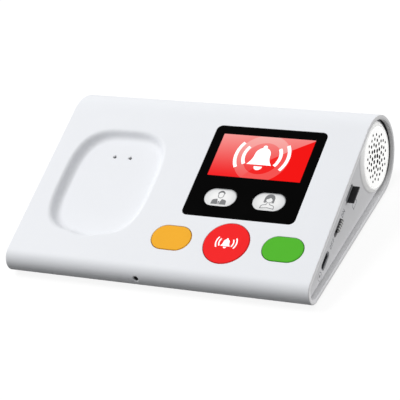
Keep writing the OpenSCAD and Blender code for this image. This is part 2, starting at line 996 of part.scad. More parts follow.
module microphone_leads() {
    y0 = mic_y + 2.7;
    color("#2c2d30")
        lead_pair([
            [-8.5, y0, 6.6], [-8.5, y0 + 1, 6.6], [-8.5, y0 + 4, 5.2], [-6, -40, 5.4], [-6, -37, 6.8],
        ], [1.2, 0, 0]);
}

module antenna_lead() {
    color("#4b4d50")
        wire([
            [-panel_in_x + 0.65, 12, 16], [-62, 10, 11], [-30, 4, 9],
            [2, 0, 11], [22, -11, 13], [27.7, -12.7, 14.2],
        ]);
}

wrap_cover();
base_plate();
base_screws();
rubber_feet();
left_end_panel();
right_end_panel();
speaker_grille();
speaker_gasket();
speaker_frame();
speaker_cone();
speaker_magnet();
screen_lens();
display_module();
display_flex();
help_button();
yellow_button();
green_button();
left_photo_button();
right_photo_button();
help_plunger();
yellow_plunger();
green_plunger();
left_photo_plunger();
right_photo_plunger();
key_switches();
main_board();
board_screws();
modem_module();
processor_shield();
usb_socket();
power_switch_case();
power_knob();
sim_socket();
sim_card();
reset_switch_case();
reset_plunger();
charge_board();
charge_pin_barrels();
charge_pin_left();
charge_pin_right();
battery();
battery_pads();
microphone();
microphone_boot();
antenna();
speaker_leads();
battery_leads();
charge_leads();
microphone_leads();
antenna_lead();
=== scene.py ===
"""Looks of a desktop medical alert base station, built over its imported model.

Lengths are in millimetres until a mesh is made. The part's frame has +X to the right, +Y to the
back and +Z up, and the feet stand on z = 0.
"""

import json
import logging
import math
from collections.abc import Callable, Iterable, Sequence
from dataclasses import dataclass, field
from enum import Enum

import bmesh
import bpy
import numpy as np
from mathutils import Matrix, Vector
from mathutils.geometry import delaunay_2d_cdt


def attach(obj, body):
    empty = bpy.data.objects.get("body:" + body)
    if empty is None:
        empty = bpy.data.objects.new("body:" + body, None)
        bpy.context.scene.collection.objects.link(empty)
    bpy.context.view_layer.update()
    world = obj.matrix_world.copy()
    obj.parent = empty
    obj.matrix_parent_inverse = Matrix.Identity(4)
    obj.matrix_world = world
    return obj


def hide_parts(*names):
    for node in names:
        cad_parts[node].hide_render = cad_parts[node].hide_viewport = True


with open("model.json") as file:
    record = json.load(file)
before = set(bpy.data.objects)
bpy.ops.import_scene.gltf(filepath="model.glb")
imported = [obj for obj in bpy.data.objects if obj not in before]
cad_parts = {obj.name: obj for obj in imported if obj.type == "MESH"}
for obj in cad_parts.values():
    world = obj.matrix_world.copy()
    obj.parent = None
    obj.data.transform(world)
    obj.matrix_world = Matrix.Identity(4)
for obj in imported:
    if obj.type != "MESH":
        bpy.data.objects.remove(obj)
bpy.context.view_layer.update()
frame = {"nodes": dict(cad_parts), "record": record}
log = logging.getLogger("base_station")

MM = 0.001
Points = np.ndarray
Pair = tuple[float, float]
Triple = tuple[float, float, float]
Colour = tuple[float, float, float, float]


# ---- Sizes and planes ----


@dataclass(frozen=True)
class Body:
    """The wedge: two arcs joined by flats, standing on its feet."""

    width: float = 152.0
    rear_radius: float = 19.3
    nose_radius: float = 6.25
    run: float = 83.15
    wall: float = 2.1
    foot: float = 0.6
    panel_recess: float = 2.65
    panel_thick: float = 2.0
    panel_gap: float = 0.15
    panel_edge: float = 0.2
    rear_steps: int = 72
    nose_steps: int = 44

    @property
    def tilt(self) -> float:
        """Slope of the face, in radians."""
        return 2 * math.atan((self.rear_radius - self.nose_radius) / self.run)

    @property
    def rear(self) -> Pair:
        """Centre of the rear arc, in y and z."""
        depth = self.run + self.rear_radius + self.nose_radius
        return depth / 2 - self.rear_radius, self.foot + self.rear_radius

    @property
    def nose(self) -> Pair:
        """Centre of the nose arc, in y and z."""
        return self.rear[0] - self.run, self.foot + self.nose_radius

    @property
    def face(self) -> Pair:
        """Front edge of the flat face, in y and z."""
        r = self.nose_radius
        return self.nose[0] - r * math.sin(self.tilt), self.nose[1] + r * math.cos(self.tilt)

    @property
    def slope(self) -> float:
        """Length of the flat face up the slope."""
        return math.sqrt(self.run**2 - (self.rear_radius - self.nose_radius) ** 2)

    @property
    def panel_x(self) -> float:
        """How far out the end panels' faces are."""
        return self.width / 2 - self.panel_recess

    @property
    def panel_back(self) -> float:
        """How far out the end panels' backs are."""
        return self.panel_x - self.panel_thick

    def arc(self, rear: bool) -> np.ndarray:
        """Give the angles of one arc's points, from the upright, positive towards the front."""
        rows = (self.tilt, -math.pi, self.rear_steps + 1), (math.pi, self.tilt, self.nose_steps + 1)
        return np.linspace(*rows[0 if rear else 1])

    def ring(self, inset: float) -> Points:
        """Give the section's points in y and z: the rear arc and then the nose arc.

        Args:
            inset: how far inside the outer skin they lie.

        Returns:
            One row for each point.
        """
        rows = []
        for rear, (y, z), radius in ((True, self.rear, self.rear_radius), (False, self.nose, self.nose_radius)):
            a, r = self.arc(rear), radius - inset
            rows.append(np.stack([y - r * np.sin(a), z + r * np.cos(a)], 1))
        return np.vstack(rows)


@dataclass(frozen=True)
class Plane:
    """A flat frame of reference: two directions in it and one out of it."""

    origin: Triple
    right: Triple
    up: Triple
    out: Triple

    def at(self, plan: Points, height: float) -> Points:
        """Place points of the plane, at a height over it, in the part's frame."""
        aside, up = plan[:, :1] * np.array(self.right), plan[:, 1:2] * np.array(self.up)
        return np.array(self.origin) + aside + up + height * np.array(self.out)


BODY = Body()
_C, _S = math.cos(BODY.tilt), math.sin(BODY.tilt)
FACE = Plane((0, *BODY.face), (1, 0, 0), (0, _C, _S), (0, -_S, _C))
RIGHT_END = Plane((0, 0, 0), (0, 1, 0), (0, 0, 1), (1, 0, 0))
LEFT_END = Plane((0, 0, 0), (0, 1, 0), (0, 0, 1), (-1, 0, 0))
LEVEL = Plane((0, 0, 0), (1, 0, 0), (0, 1, 0), (0, 0, 1))


def beside(s: float, h: float) -> Pair:
    """Give y and z of a place s up the slope and h out of the face."""
    return BODY.face[0] + s * _C - h * _S, BODY.face[1] + s * _S + h * _C


def on_nose(plan: Points, r: float) -> Points:
    """Roll a plan of x and the way round onto the nose's arc of radius r."""
    a = plan[:, 1] / r
    return np.stack([plan[:, 0], BODY.nose[0] - r * np.sin(a), BODY.nose[1] + r * np.cos(a)], 1)


# ---- Shader building ----


def linear(colour: Triple, dim: float = 1.0) -> Colour:
    """Turn a colour as a screen shows it into the renderer's own numbers.

    Args:
        colour: red, green and blue from 0 to 255.
        dim: what its light is multiplied by.

    Returns:
        The linear colour, with an alpha of 1.
    """
    parts = [c / 255 for c in colour]
    made = [c / 12.92 if c <= 0.04045 else ((c + 0.055) / 1.055) ** 2.4 for c in parts]
    return made[0] * dim, made[1] * dim, made[2] * dim, 1.0


BLACK = linear((0, 0, 0))
WHITE = linear((255, 255, 255))


class Value:
    """A number in a shader that takes part in Python arithmetic."""

    def __init__(self, graph: "Graph", socket: bpy.types.NodeSocket) -> None:
        """Wrap one output socket of a graph's node."""
        self.graph = graph
        self.socket = socket

    def math(self, operation: str, *operands: "Value | float") -> "Value":
        """Add one Math node that works on these operands."""
        return self.graph.node("ShaderNodeMath", {"operation": operation}, dict(enumerate(operands)))

    def __add__(self, other: "Value | float") -> "Value":
        """Add."""
        return self.math("ADD", self, other)

    def __radd__(self, other: float) -> "Value":
        """Add to a number."""
        return self.math("ADD", other, self)

    def __sub__(self, other: "Value | float") -> "Value":
        """Subtract."""
        return self.math("SUBTRACT", self, other)

    def __rsub__(self, other: float) -> "Value":
        """Subtract from a number."""
        return self.math("SUBTRACT", other, self)

    def __mul__(self, other: "Value | float") -> "Value":
        """Multiply."""
        return self.math("MULTIPLY", self, other)

    def __rmul__(self, other: float) -> "Value":
        """Multiply a number."""
        return self.math("MULTIPLY", other, self)

    def __truediv__(self, other: "Value | float") -> "Value":
        """Divide."""
        return self.math("DIVIDE", self, other)

    def __pow__(self, other: "Value | float") -> "Value":
        """Raise to a power."""
        return self.math("POWER", self, other)

    def __abs__(self) -> "Value":
        """Drop the sign."""
        return self.math("ABSOLUTE", self)

    def __gt__(self, other: "Value | float") -> "Value":
        """Give 1 where this is greater, else 0."""
        return self.math("GREATER_THAN", self, other)

    def __lt__(self, other: "Value | float") -> "Value":
        """Give 1 where this is less, else 0."""
        return self.math("LESS_THAN", self, other)

    def top(self, other: "Value | float") -> "Value":
        """Take the greater of two."""
        return self.math("MAXIMUM", self, other)

    def far(self, other: "Value") -> "Value":
        """Give the distance that this and another make at a right angle."""
        return self.math("SQRT", self * self + other * other)

    def ramp(self, low: float, high: float) -> "Value":
        """Rise from 0 at low to 1 at high, smoothly, and stay there."""
        settings = {"interpolation_type": "SMOOTHSTEP"}
        return self.graph.node("ShaderNodeMapRange", settings, {0: self, 1: low, 2: high, 3: 0.0, 4: 1.0})

    def step(self, at: float, soft: float) -> "Value":
        """Rise from 0 to 1 across a value, within soft on either side."""
        return self.ramp(at - soft, at + soft)


Feed = Value | float | tuple[float, ...]


class Graph:
    """The node tree of a material or of the world."""

    def __init__(self, owner: bpy.types.Material | bpy.types.World, surface: str = "Principled BSDF") -> None:
        """Open the tree.

        Args:
            owner: whose tree it is.
            surface: the name of its shader.
        """
        owner.use_nodes = True
        self.tree = owner.node_tree
        self.surface = self.tree.nodes[surface]

    def node(self, kind: str, settings: dict | None = None, inputs: dict | None = None, out: int | str = 0) -> Value:
        """Add any node.

        Args:
            kind: the node's type.
            settings: its properties, which are set first.
            inputs: socket name or number to a value or to what feeds it.
            out: the output that is wanted.

        Returns:
            That output.
        """
        made = self.tree.nodes.new(kind)
        for key, value in (settings or {}).items():
            setattr(made, key, value)
        for key, value in (inputs or {}).items():
            self.feed(made.inputs[key], value)
        return Value(self, made.outputs[out])

    def feed(self, socket: bpy.types.NodeSocket, value: Feed) -> None:
        """Link a value to a socket, or set the socket to a constant.

        Args:
            socket: the socket.
            value: what feeds it; three numbers are a colour as a screen shows it.
        """
        if isinstance(value, Value):
            self.tree.links.new(value.socket, socket)
        else:
            socket.default_value = linear(value) if isinstance(value, tuple) and len(value) == 3 else value

    def set(self, **values: Feed) -> None:
        """Feed the surface's sockets, named with _ for a space."""
        for key, value in values.items():
            self.feed(self.surface.inputs[key.replace("_", " ")], value)

    def split(self, vector: Value) -> tuple[Value, ...]:
        """Take a vector apart."""
        parted = self.node("ShaderNodeSeparateXYZ", inputs={0: vector}).socket.node
        return tuple(Value(self, out) for out in parted.outputs)

    def place(self) -> Value:
        """Give the position on the piece, in metres in the part's frame."""
        return self.node("ShaderNodeTexCoord", out="Object")

    def axes(self) -> tuple[Value, ...]:
        """Give x, y and z on the piece, in millimetres."""
        return tuple(part * 1000.0 for part in self.split(self.place()))

    def on_end(self) -> tuple[Value, Value, Value]:
        """Give x, and how far behind and above the rear arc's centre, in millimetres."""
        x, y, z = self.axes()
        return x, y - BODY.rear[0], z - BODY.rear[1]

    def on_face(self, middle: Pair = (0.0, 0.0)) -> tuple[Value, Value, Value]:
        """Give the place on the sloping face, in millimetres.

        Args:
            middle: x and the distance up the slope that count as 0.

        Returns:
            The distances across and up from the middle, and the height out of the face.
        """
        x, y, z = self.axes()
        dy, dz = y - BODY.face[0], z - BODY.face[1]
        return x - middle[0], dy * _C + dz * _S - middle[1], dz * _C - dy * _S

    def noise(self, size: float, detail: float = 2.0, roughness: float = 0.5) -> Value:
        """Give noise whose features are about size millimetres wide."""
        inputs = {"Vector": self.place(), "Scale": 1000.0 / size, "Detail": detail, "Roughness": roughness}
        return self.node("ShaderNodeTexNoise", inputs=inputs)

    def mix(self, factor: Value, one: Feed, other: Feed) -> Value:
        """Blend two colours."""
        return self.node("ShaderNodeMix", {"data_type": "RGBA"}, {"Factor": factor, 6: one, 7: other}, out=2)

    def uneven(self, colour: Triple, dim: float) -> Value:
        """Give a colour that is dimmed a little in broad clouds."""
        return self.mix(self.noise(14.0, 3.0).ramp(0.3, 0.7), linear(colour, dim), colour)

    def bump(self, height: Value, depth: float) -> None:
        """Feed the surface's normal with a height of depth millimetres."""
        self.set(Normal=self.node("ShaderNodeBump", inputs={"Distance": depth * MM, "Height": height}))

    def grain(self, height: Value, roughness: float, vary: float, depth: float) -> None:
        """Let one pattern vary the roughness about a middle value and stand depth millimetres high."""
        self.set(Roughness=roughness + (height - 0.5) * vary)
        self.bump(height, depth)


# ---- Finishes ----


@dataclass(frozen=True)
class Finish:
    """A finish: its name, and how its nodes are built."""

    name: str

    def paint(self, g: Graph) -> None:
        """Build the nodes."""
        raise NotImplementedError

    def make(self) -> bpy.types.Material:
        """Make the material.

        Returns:
            The material.
        """
        material = bpy.data.materials.new(self.name)
        self.paint(Graph(material))
        return material


@dataclass(frozen=True)
class Moulded(Finish):
    """Moulded plastic with a fine spark-eroded grain and slightly uneven colour."""

    colour: Triple
    roughness: float = 0.45
    specular: float = 0.35
    grain_size: float = 0.28
    grain_depth: float = 0.002
    mottle: float = 0.02
    glow: float = 0.0

    def paint(self, g: Graph) -> None:
        """Build the nodes.

        Args:
            g: the material's graph.
        """
        g.set(
            Base_Color=g.uneven(self.colour, 1 - self.mottle * 2),
            Specular_IOR_Level=self.specular,
            Emission_Color=self.colour,
            Emission_Strength=self.glow,
        )
        g.grain(g.noise(self.grain_size, 3.0, 0.6), self.roughness, 0.08, self.grain_depth)


@dataclass(frozen=True)
class Wrap(Finish):
    """The cover's white plastic, with light and shade painted on its ends: grey as painted shade on the end faces and
    the lining inside them, paler towards the lining's outer edge as painted light, and a dark painted shadow on the
    lining behind the speaker.
    """

    colour: Triple
    # rim is painted shade for the end faces and the lining; pale is painted light on the lining near its outer edge.
    rim: Triple = (223, 223, 224)
    pale: Triple = (240, 240, 242)
    # gap is the colour of a painted shadow on the lining behind the speaker; the four pairs below place it and fade it.
    gap: Triple = (20, 20, 21)
    shadow_back: Pair = (-9.0, -1.0)
    shadow_up: Pair = (-17.5, -13.0)
    shadow_out: Pair = (74.15, 74.9)
    shadow_top: Pair = (8.0, 16.0)
    lit_lining_span: Pair = (0.2, 1.9)

    def paint(self, g: Graph) -> None:
        """Build the nodes.

        Args:
            g: the material's graph.
        """
        x, dy, dz = g.on_end()
        nx, ny, nz = g.split(g.node("ShaderNodeNewGeometry", out="Normal"))
        # The end faces are picked out by which way they face, so their grey is painted shade.
        outside = abs(x) > BODY.panel_x - 0.1
        lining = (ny * dy + nz * dz < 0.0) * outside
        end = (abs(nx).ramp(0.35, 0.8) * outside).top(lining)
        # Where the painted shadow lies: behind the speaker on the right end, weaker lower down.
        behind = dy.ramp(*self.shadow_back) * (dz.ramp(*self.shadow_up) * 0.6 + 0.4) * (x > 0.0)
        shadow_fade = x.ramp(*self.shadow_out) * 0.78 + dz.ramp(*self.shadow_top) * 0.1
        # The lining turns paler towards its outer edge: painted light over the painted shade deep in the recess.
        lit = lining * (1.0 - behind) * x.ramp(*(BODY.panel_x + out for out in self.lit_lining_span))
        white = g.mix(end, g.uneven(self.colour, 0.992), g.mix(lit, self.rim, self.pale))
        # The dark painted shadow, fading out towards the rim and the top.
        dark = lining * behind * (1.0 - shadow_fade).top(0.0)
        g.set(Base_Color=g.mix(dark, white, self.gap), Specular_IOR_Level=0.25)
        g.grain(g.noise(0.28, 3.0, 0.6), 0.55, 0.08, 0.002)


@dataclass(frozen=True)
class EndPanel(Finish):
    """The end panel's grey plastic, whiter on the cone round the speaker, where it also glows a little as painted
    light.
    """

    colour: Triple
    cone: Triple = (252, 252, 251)
    cone_edge: Pair = (16.5, 16.9)
    cone_foot: Pair = (-0.1, 0.9)
    # glow is painted light: the cone glows a little though it is no lamp.
    glow: float = 0.14

    def paint(self, g: Graph) -> None:
        """Build the nodes.

        Args:
            g: the material's graph.
        """
        x, dy, dz = g.on_end()
        near = 1.0 - dy.far(dz).ramp(*self.cone_edge)
        raised = near * x.ramp(*(BODY.panel_x + out for out in self.cone_foot))
        # The cone's glow is painted light that brightens it where it faces away from the lamps.
        g.set(
            Base_Color=g.mix(raised, g.uneven(self.colour, 0.98), self.cone),
            Specular_IOR_Level=0.25,
            Emission_Color=g.mix(raised, BLACK, self.cone),
            Emission_Strength=self.glow,
        )
        g.grain(g.noise(0.3, 3.0, 0.6), 0.55, 0.1, 0.002)


@dataclass(frozen=True)
class Ribbed(Finish):
    """The switch's knob: black, with a painted highlight on the crests of its ribs, painted light on its upper side,
    and black between the ribs and below.
    """

    foot: float
    crest: float
    flank: float
    # The crests' grey is a painted highlight and side is painted light on the upper side; groove is the knob's own
    # black.
    rib_highlight: Triple = (205, 205, 204)
    side: Triple = (104, 104, 106)
    groove: Triple = (20, 20, 21)

    def paint(self, g: Graph) -> None:
        """Build the nodes.

        Args:
            g: the material's graph.
        """
        x, _, h = g.on_face()
        # Painted light: grey above the flank, black below it, and a pale painted highlight where the ribs stand out.
        low = g.mix(h.step(self.flank, 0.06), self.groove, self.side)
        g.set(Base_Color=g.mix(x.ramp(self.foot, self.crest), low, self.rib_highlight), Specular_IOR_Level=0.3)
        g.grain(g.noise(0.4, 3.0), 0.5, 0.1, 0.003)


@dataclass(frozen=True)
class Perforated(Finish):
    """Powder-coated sheet: white in front, glowing a little as painted light, with painted shade on the walls of its
    sound holes.
    """

    colour: Triple
    front: float
    reach: float
    # hole is painted shade: the walls of the sound holes are darkened where shadow falls inside them.
    hole: Triple = (12, 12, 13)
    skin: float = 0.03
    # glow is painted light: the sheet glows though it is no lamp.
    glow: float = 0.33

    def paint(self, g: Graph) -> None:
        """Build the nodes.

        Args:
            g: the material's graph.
        """
        x, dy, dz = g.on_end()
        # Behind the front skin, inside the disc: the holes' walls, given painted shade.
        hole = (x < self.front - self.skin) * (dy.far(dz) < self.reach)
        g.set(
            Base_Color=g.mix(hole, self.colour, self.hole),
            Specular_IOR_Level=0.2,
            Emission_Color=g.mix(hole, self.colour, BLACK),
            Emission_Strength=self.glow,
        )
        g.grain(g.noise(0.2, 3.0, 0.6), 0.5, 0.1, 0.003)


@dataclass(frozen=True)
class Metal(Finish):
    """Drawn or plated metal with fine scratches along x."""

    colour: Triple
    roughness: float = 0.28
    scratch: float = 0.12

    def paint(self, g: Graph) -> None:
        """Build the nodes.

        Args:
            g: the material's graph.
        """
        x, y, z = g.axes()
        stretched = g.node("ShaderNodeCombineXYZ", inputs={0: x * 0.3, 1: y * 5.0, 2: z * 5.0})
        lines = g.node("ShaderNodeTexNoise", inputs={"Vector": stretched, "Scale": 1.0, "Detail": 4.0})
        worn = g.noise(3.0).ramp(0.35, 0.7)
        g.set(Base_Color=g.mix(worn, self.colour, linear(self.colour, 0.82)), Metallic=1.0)
        g.grain(lines, self.roughness, self.scratch, 0.002)


@dataclass(frozen=True)
class Foam(Finish):
    """Closed-cell foam or rubber with a pitted surface."""

    colour: Triple
    cell: float = 0.5
    depth: float = 0.05
    roughness: float = 0.85

    def paint(self, g: Graph) -> None:
        """Build the nodes.

        Args:
            g: the material's graph.
        """
        cells = g.node("ShaderNodeTexVoronoi", inputs={"Vector": g.place(), "Scale": 1000.0 / self.cell})
        pitted = g.mix(cells.ramp(0.1, 0.6), linear(self.colour, 0.7), self.colour)
        g.set(Base_Color=pitted, Roughness=self.roughness, Specular_IOR_Level=0.25)
        g.bump(cells, self.depth)


@dataclass(frozen=True)
class Board(Finish):
    """A circuit board: solder mask with copper tracks and a few pads showing under it."""

    colour: Triple
    track: Triple
    pitch: float = 1.6

    def paint(self, g: Graph) -> None:
        """Build the nodes.

        Args:
            g: the material's graph.
        """
        x, y, _ = g.axes()
        warp = g.noise(9.0, 1.0) * 3.0
        rows = warp.math("PINGPONG", x + warp, self.pitch / 2)
        columns = warp.math("PINGPONG", y + warp, self.pitch)
        tracks = (rows < 0.16).top(columns < 0.2)
        g.set(
            Base_Color=g.mix(tracks, self.colour, self.track),
            Roughness=0.32 + g.noise(0.6) * 0.1,
            Specular_IOR_Level=0.5,
        )
        g.bump(tracks, 0.03)


@dataclass(frozen=True)
class Lens(Finish):
    """The screen's cover: black print under a hard clear coat."""

    colour: Triple = (1, 1, 1)
    faint: Triple = (4, 4, 4)

    def paint(self, g: Graph) -> None:
        """Build the nodes.

        Args:
            g: the material's graph.
        """
        smear = g.noise(18.0, 3.0)
        g.set(Base_Color=g.mix(smear.ramp(0.45, 0.8), self.colour, self.faint), Specular_IOR_Level=0.02)
        g.grain(smear, 0.07, 0.04, 0.001)


@dataclass(frozen=True)
class Picture(Finish):
    """The lit picture: red with a broad pale ring, and a paler sheen in its upper left that is a painted reflection of
    glare, mixed into its glow.
    """

    middle: Pair
    half: Pair
    red: Triple = (248, 16, 14)
    # sheen_low and sheen_high are the colours of the painted reflection.
    sheen_low: Triple = (246, 34, 36)
    sheen_high: Triple = (251, 156, 152)
    ring_tone: Triple = (255, 206, 200)
    unlit: Triple = (8, 5, 5)
    ring: Pair = (8.9, 13.35)
    ring_shift: Pair = (0.55, -0.5)
    glow: float = 0.97

    def paint(self, g: Graph) -> None:
        """Build the nodes.

        Args:
            g: the material's graph.
        """
        dx, ds, h = g.on_face(self.middle)
        across = dx / self.half[0]
        rise = (ds / self.half[1] * 0.5 + 0.5).top(0.0)
        # A painted reflection: glare across the upper left with a curved lower edge, fading downwards and to the right.
        sheen = 1.0 - (across - (rise**1.35) * 1.3 + 0.262).step(0.0, 0.01)
        glossy = g.mix(rise**1.5 * (0.87 - across * 0.15), self.sheen_low, self.sheen_high)
        far = (dx - self.ring_shift[0]).far(ds - self.ring_shift[1])
        inside = 1.0 - far.step(self.ring[0], 0.1)
        band = 1.0 - inside - far.step(self.ring[1], 0.1)
        # The ring is part of the picture; it turns paler under the painted reflection.
        pale = band * (0.14 + sheen * rise * 0.34) + inside * 0.02
        lit = g.mix(pale, g.mix(sheen, self.red, glossy), self.ring_tone)
        g.set(
            Base_Color=self.unlit,
            Roughness=0.1 + g.noise(0.5) * 0.05,
            Specular_IOR_Level=0.02,
            Emission_Color=g.mix(h > -1.0, BLACK, lit),
            Emission_Strength=self.glow,
        )


@dataclass(frozen=True)
class Pearl(Finish):
    """Silver-pearl paint: bright flakes in a soft grey, with painted light and shade: paler in the middle, greyer
    outwards, and a painted shadow along the upper edge.
    """

    middle: Pair
    half: Pair
    # bright and grey are painted light and shade across the top; shade is the painted shadow along the upper edge.
    bright: Triple = (224, 224, 224)
    grey: Triple = (198, 199, 200)
    shade: Triple = (116, 117, 119)

    def paint(self, g: Graph) -> None:
        """Build the nodes.

        Args:
            g: the material's graph.
        """
        dx, ds, _ = g.on_face(self.middle)
        far = (dx / self.half[0]).far(ds / self.half[1] * math.sqrt(0.8))
        along = (abs(dx) - (self.half[0] - self.half[1])).top(0.0)
        away = along.far(ds + 0.55) - self.half[1]
        flakes = g.node("ShaderNodeTexVoronoi", inputs={"Vector": g.place(), "Scale": 7000.0}, out="Color")
        spark = g.node("ShaderNodeSeparateColor", inputs={0: flakes})
        # Painted shading: paler in the middle and greyer outwards, then darker along the upper edge as a painted shadow
        # from the recess.
        face = g.mix(far.ramp(0.3, 1.15), self.bright, self.grey)
        shaded = g.mix(away.ramp(-0.8, 0.5), face, self.shade)
        g.set(Base_Color=g.mix(spark * 0.12, shaded, WHITE), Metallic=0.15, Specular_IOR_Level=0.4)
        g.grain(spark, 0.42, 0.12, 0.003)


@dataclass(frozen=True)
class Socket(Finish):
    """A plated socket whose tongue is black plastic."""

    middle: Pair
    plate: Triple = (176, 178, 182)
    plastic: Triple = (22, 22, 24)
    tongue: Pair = (3.35, 0.42)

    def paint(self, g: Graph) -> None:
        """Build the nodes.

        Args:
            g: the material's graph.
        """
        _, s, h = g.on_face()
        inside = (abs(s - self.middle[0]) < self.tongue[0]) * (abs(h - self.middle[1]) < self.tongue[1])
        g.set(Base_Color=g.mix(inside, self.plate, self.plastic), Metallic=1.0 - inside)
        g.grain(g.noise(0.4), 0.35, 0.1, 0.001)


@dataclass(frozen=True)
class Card(Finish):
    """A small card: printed black where it is held, bare grey where it enters its slot."""

    grey_below: float
    bare: Triple = (186, 187, 189)
    dark: Triple = (20, 20, 22)
    worn: Triple = (34, 34, 36)

    def paint(self, g: Graph) -> None:
        """Build the nodes.

        Args:
            g: the material's graph.
        """
        x, grain = g.axes()[0], g.noise(0.3)
        held = x.step(self.grey_below, 0.12)
        g.set(Base_Color=g.mix(held, self.bare, g.mix(grain, self.dark, self.worn)), Specular_IOR_Level=0.3)
        g.grain(grain, 0.55, 0.1, 0.002)


class Palette:
    """The finishes by name, each made into a material when it is first asked for."""

    def __init__(self) -> None:
        """List the finishes, and the record's slots that share one of another name."""
        key, ink = (0.62, 0.1, 0.28, 0.002, 0.01), (0.6, 0.2, 0.2, 0.001, 0.01)
        lead = (0.35, 0.5, 0.5, 0.004, 0.03)
        finishes: list[Finish] = [
            Wrap("shell_white", (239, 241, 245)),
            Moulded("base_white", (226, 228, 231), 0.6, 0.3, 0.4, 0.008, 0.01),
            EndPanel("panel_grey", (216, 216, 218)),
            Perforated("disc_white", (253, 253, 252), 74.9, 13.0),
            Lens("screen_black"),
            Moulded("key_red", (252, 32, 34), *key),
            Moulded("key_yellow", (251, 181, 46), *key),
            Moulded("key_green", (84, 188, 44), *key),
            # print_white glows a little: the display's own light on the display's bell, and painted light on the help
            # key's bell.
            Moulded("print_white", (255, 255, 255), 0.6, 0.1, 0.2, 0.001, 0.002, 0.25),
            Moulded("print_grey", (138, 140, 144), *ink),
            Moulded("print_dark", (126, 127, 129), *ink),
            Moulded("black_plastic", (30, 30, 32), 0.5, 0.3, 0.3, 0.004, 0.05),
            Foam("rubber", (44, 44, 46), 0.35, 0.02, 0.8),
            Foam("foam", (70, 72, 76)),
            Metal("steel", (186, 188, 192)),
            Metal("magnet", (110, 113, 118), 0.35),
            Metal("gold", (222, 180, 98), 0.25),
            Metal("nickel", (150, 151, 153), 0.35),
            Board("board", (24, 96, 62), (52, 134, 88)),
            Board("flex", (196, 136, 46), (226, 168, 84), 0.8),
            Card("card", 73.45),
            Moulded("battery_wrap", (58, 108, 180), 0.3, 0.5, 2.0, 0.01, 0.03),
            Moulded("wire_red", (186, 44, 36), *lead),
            Moulded("wire_black", (32, 32, 34), *lead),
        ]
        self.finishes = {finish.name: finish for finish in finishes}
        shared = {"grille_white": "disc_white", "lens_black": "screen_black"}
        shared |= {"display": "black_plastic", "key_silver": "steel"}
        self.finishes |= {slot: self.finishes[name] for slot, name in shared.items()}
        self.made: dict[str, bpy.types.Material] = {}

    def __getitem__(self, key: str) -> bpy.types.Material:
        """Give the material of a finish.

        Args:
            key: the finish's name, or a slot of the record.

        Returns:
            The material.
        """
        finish = self.finishes[key]
        if finish.name not in self.made:
            self.made[finish.name] = finish.make()
        return self.made[finish.name]


def dress(node: str, finish: bpy.types.Material) -> None:
    """Give a CAD node a material in place of its own."""
    frame["nodes"][node].data.materials.clear()
    frame["nodes"][node].data.materials.append(finish)


# ---- Lines and meshes ----


def unit(a: np.ndarray) -> Points:
    """Give the directions at these angles, in radians."""
    return np.stack([np.cos(a), np.sin(a)], 1)


def spin(turn: float) -> np.ndarray:
    """Give the matrix that turns rows of points anticlockwise, in radians."""
    c, s = math.cos(turn), math.sin(turn)
    return np.array([[c, s], [-s, c]])


@dataclass(frozen=True)
class Outline:
    """A closed line in a plane, with its outward direction at each point."""

    points: Points
    normals: Points

    @classmethod
    def arcs(cls, corners: Iterable[tuple[float, ...]], steps: int) -> "Outline":
        """Join arcs by straight lines.

        Args:
            corners: for each arc its centre, its radius and its first and last angle in degrees.
            steps: the number of steps in each arc.

        Returns:
            The outline, anticlockwise if the arcs are.
        """
        points, normals = [], []
        for x, y, r, first, last in corners:
            normals.append(unit(np.radians(np.linspace(first, last, steps + 1))))
            points.append(normals[-1] * r + (x, y))
        return cls(np.vstack(points), np.vstack(normals))

    @classmethod
    def circle(cls, radius: float, steps: int = 64) -> "Outline":
        """A circle about the origin."""
        n = unit(np.linspace(0, 2 * math.pi, steps, endpoint=False))
        return cls(n * radius, n)

    @classmethod
    def pill(cls, width: float, length: float, steps: int = 32) -> "Outline":
        """Two half circles joined by straight sides."""
        r, d = length / 2, (width - length) / 2
        return cls.arcs([(d, 0, r, -90, 90), (-d, 0, r, 90, 270)], steps)

    @classmethod
    def rounded(cls, width: float, length: float, radius: float, steps: int = 10) -> "Outline":
        """A rectangle with round corners."""
        x, y, ends = width / 2 - radius, length / 2 - radius, ((1, -1, -90), (1, 1, 0), (-1, 1, 90), (-1, -1, 180))
        return cls.arcs([(a * x, b * y, radius, first, first + 90) for a, b, first in ends], steps)

    @classmethod
    def along(cls, points: Points) -> "Outline":
        """Take any closed smooth line, anticlockwise, and work out its outward directions."""
        ahead = np.roll(points, -1, 0) - np.roll(points, 1, 0)
        return cls(points, ahead[:, ::-1] * (1, -1) / np.linalg.norm(ahead, axis=1, keepdims=True))

    def grown(self, by: float) -> "Outline":
        """Move every point outwards."""
        return Outline(self.points + by * self.normals, self.normals)

    def moved(self, x: float, y: float, turn: float = 0.0) -> "Outline":
        """Turn about the origin, in radians, and then move."""
        return Outline(self.points @ spin(turn) + (x, y), self.normals @ spin(turn))


@dataclass
class Loop:
    """A closed line of a mesh's vertices and the same line in a plane."""

    index: list[int]
    plan: Points


def within(points: Points, line: Points) -> np.ndarray:
    """Test which points lie inside a closed line.

    Args:
        points: the points, one to a row.
        line: the line's corners.

    Returns:
        True for each point inside.
    """
    x, y = points[:, :1], points[:, 1:2]
    x0, y0 = line[:, 0], line[:, 1]
    x1, y1 = np.roll(x0, -1), np.roll(y0, -1)
    spans = (y0 > y) != (y1 > y)
    rise = np.where(y1 == y0, 1e-12, y1 - y0)
    return ((x < (x1 - x0) * (y - y0) / rise + x0) & spans).sum(1) % 2 == 1


